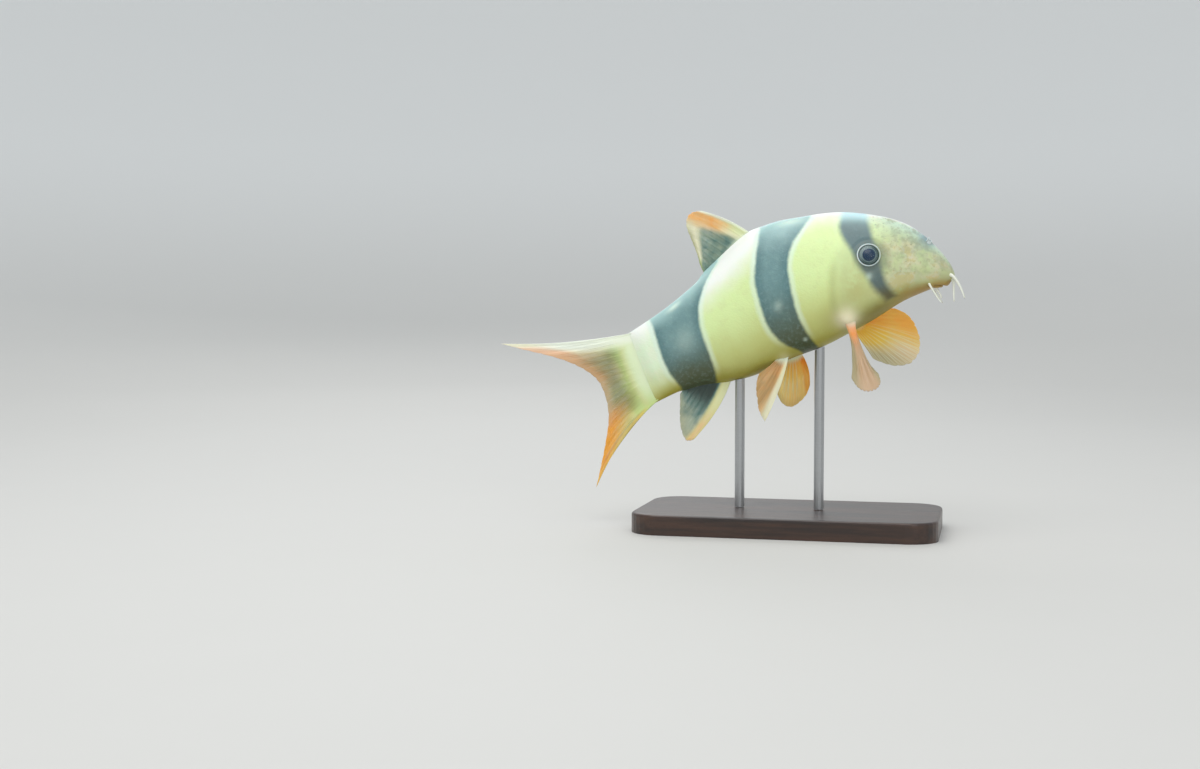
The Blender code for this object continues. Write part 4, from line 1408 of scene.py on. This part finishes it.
def wood_finish(stand):
    """Dark stained wood, its grain along the base."""
    finish = Finish("stand_wood")
    run = finish.squeezed((0.06, 1.0, 1.0))
    rings = finish.noise(5.0, 5.0, 0.65, run)
    pores = finish.noise(0.5, 2.0, 0.6, run)
    colour = finish.mix(rings.rise(0.35, 0.68), stand.wood, stand.grain)
    colour = finish.mix(pores.rise(0.58, 0.72) * 0.6, colour, stand.grain)
    normal = finish.relief(pores, 0.06)
    return finish.done(
        base_color=colour, roughness=0.34 + pores * 0.16, normal=normal, coat_weight=0.35,
        coat_roughness=0.2,
    )


def steel_finish(stand):
    """Brushed steel, its fine lines round the rods."""
    finish = Finish("stand_steel")
    run = finish.squeezed((1.0, 1.0, 14.0))
    lines = finish.noise(3.0, 3.0, 0.7, run)
    colour = finish.mix(lines * 0.35, stand.steel, tint(120, 122, 124))
    return finish.done(
        base_color=colour, metallic=1.0, roughness=0.24 + lines * 0.16,
        normal=finish.relief(lines, 0.01),
    )


class LOACH_OT_stand(Operator):
    """Finishes the base and rods of the stand"""

    bl_idname = "loach.stand"
    bl_label = "Stand"

    def execute(self, context):
        stand = context.scene.loach_stand
        wood = wood_finish(stand)
        steel = steel_finish(stand)
        finishes = {
            "stand_base": (wood, "stand_wood"),
            "stand_rod_front": (steel, "stand_steel"),
            "stand_rod_rear": (steel, "stand_steel"),
        }
        for name, (finish, slot) in finishes.items():
            node = frame["nodes"][name]
            node.data.materials.clear()
            node.data.materials.append(finish)
        return {"FINISHED"}


def area_light(name, place, power, size, spread=180):
    """A soft square light, aimed at the model. With a spread of few degrees it lights less of the floor."""
    light = bpy.data.lights.new(name, "AREA")
    light.spread = math.radians(spread)
    light.size = size
    light.energy = power
    lamp = bpy.data.objects.new(name, light)
    bpy.context.scene.collection.objects.link(lamp)
    lamp.visible_camera = False
    lamp.location = place
    lamp.rotation_euler = (Vector(MODEL_MIDDLE) - Vector(place)).to_track_quat("-Z", "Y").to_euler()


def floor_finish(stage):
    """A pale floor that grows paler as it rises into the wall."""
    finish = Finish("studio_floor")
    height = finish.add("ShaderNodeSeparateXYZ", {}, {"Vector": finish.place}, "Z")
    finish.colour = finish.mix(finish.noise(40.0, 2.0) * 0.1, stage.floor, tint(200, 198, 192))
    finish.paint(height.rise(0.0, 0.3), stage.wall)
    return finish.done(base_color=finish.colour, roughness=0.7)


def floor_shape():
    """A round floor that bends up all round, with its faces towards the model."""
    profile = [(0.0, 0.0), (FLOOR_FLAT, 0.0)]
    profile += [
        (FLOOR_FLAT + FLOOR_BEND * math.sin(turn), FLOOR_BEND * (1 - math.cos(turn)))
        for turn in np.radians(np.arange(8, 65, 8))
    ]
    shape = bmesh.new()
    turned(shape, profile, 64)
    for face in shape.faces:
        if face.normal.dot(Vector((0, 0, 0.4)) - face.calc_center_median()) < 0:
            face.normal_flip()
    return shape


def add_camera(lens):
    """The camera at the photograph's angle and framing."""
    view = bpy.data.cameras.new("camera")
    view.lens = lens
    view.clip_start = 0.01
    camera = bpy.data.objects.new("camera", view)
    bpy.context.scene.collection.objects.link(camera)
    camera.location = CAMERA_PLACE
    level = math.cos(CAMERA_DIP)
    ahead = (-math.sin(CAMERA_TURN) * level, math.cos(CAMERA_TURN) * level, -math.sin(CAMERA_DIP))
    camera.rotation_euler = Vector(ahead).to_track_quat("-Z", "Y").to_euler()
    bpy.context.scene.camera = camera


class LOACH_OT_stage(Operator):
    """Sets up the pale floor, the soft lights and the camera"""

    bl_idname = "loach.stage"
    bl_label = "Stage"

    def execute(self, context):
        stage = context.scene.loach_stage
        floor = smooth_object("floor", floor_shape(), floor_finish(stage))
        area_light("key_light", (-0.12, -0.34, 0.84), stage.key_power, size=0.7)
        area_light("fill_light", (0.64, -1.20, 0.56), stage.fill_power, size=0.7, spread=80)
        area_light("back_light", (-0.35, 0.70, 0.60), stage.back_power, size=0.6)
        studio = bpy.data.worlds.new("studio")
        studio.use_nodes = True
        sky = studio.node_tree.nodes["Background"]
        sky.inputs["Color"].default_value = (0.9, 0.95, 1.0, 1.0)
        sky.inputs["Strength"].default_value = stage.sky
        context.scene.world = studio
        context.scene.view_settings.view_transform = "Standard"
        add_camera(stage.lens)
        return {"FINISHED"}


SETTINGS = {
    "loach_skin": LoachSkinSettings,
    "loach_eye": LoachEyeSettings,
    "loach_fins": LoachFinSettings,
    "loach_feelers": LoachFeelerSettings,
    "loach_stand": LoachStandSettings,
    "loach_stage": LoachStageSettings,
}
OPERATORS = (
    LOACH_OT_skin, LOACH_OT_eyes, LOACH_OT_nostrils, LOACH_OT_fins, LOACH_OT_feelers, LOACH_OT_stand,
    LOACH_OT_stage,
)


class LOACH_PT_sidebar(Panel):
    """Settings and steps of the loach"""

    bl_label = "Loach"
    bl_idname = "LOACH_PT_sidebar"
    bl_space_type = "VIEW_3D"
    bl_region_type = "UI"
    bl_category = "Loach"

    def draw(self, context):
        for name, group in SETTINGS.items():
            box = self.layout.box()
            box.label(text=group.__doc__)
            for prop in group.__annotations__:
                box.prop(getattr(context.scene, name), prop)
        for operator in OPERATORS:
            self.layout.operator(operator.bl_idname)


def register():
    """Tells Blender of the settings, the steps and the panel."""
    for group in (*SETTINGS.values(), *OPERATORS, LOACH_PT_sidebar):
        bpy.utils.register_class(group)
    for name, group in SETTINGS.items():
        setattr(bpy.types.Scene, name, PointerProperty(type=group))


def unregister():
    """Takes them back."""
    for name in SETTINGS:
        delattr(bpy.types.Scene, name)
    for group in reversed((*SETTINGS.values(), *OPERATORS, LOACH_PT_sidebar)):
        bpy.utils.unregister_class(group)


def main():
    """Makes every piece, then the stage."""
    register()
    bpy.ops.loach.skin()
    bpy.ops.loach.eyes()
    bpy.ops.loach.nostrils()
    bpy.ops.loach.fins()
    bpy.ops.loach.feelers()
    bpy.ops.loach.stand()
    bpy.ops.loach.stage()


if __name__ == "__main__":
    main()
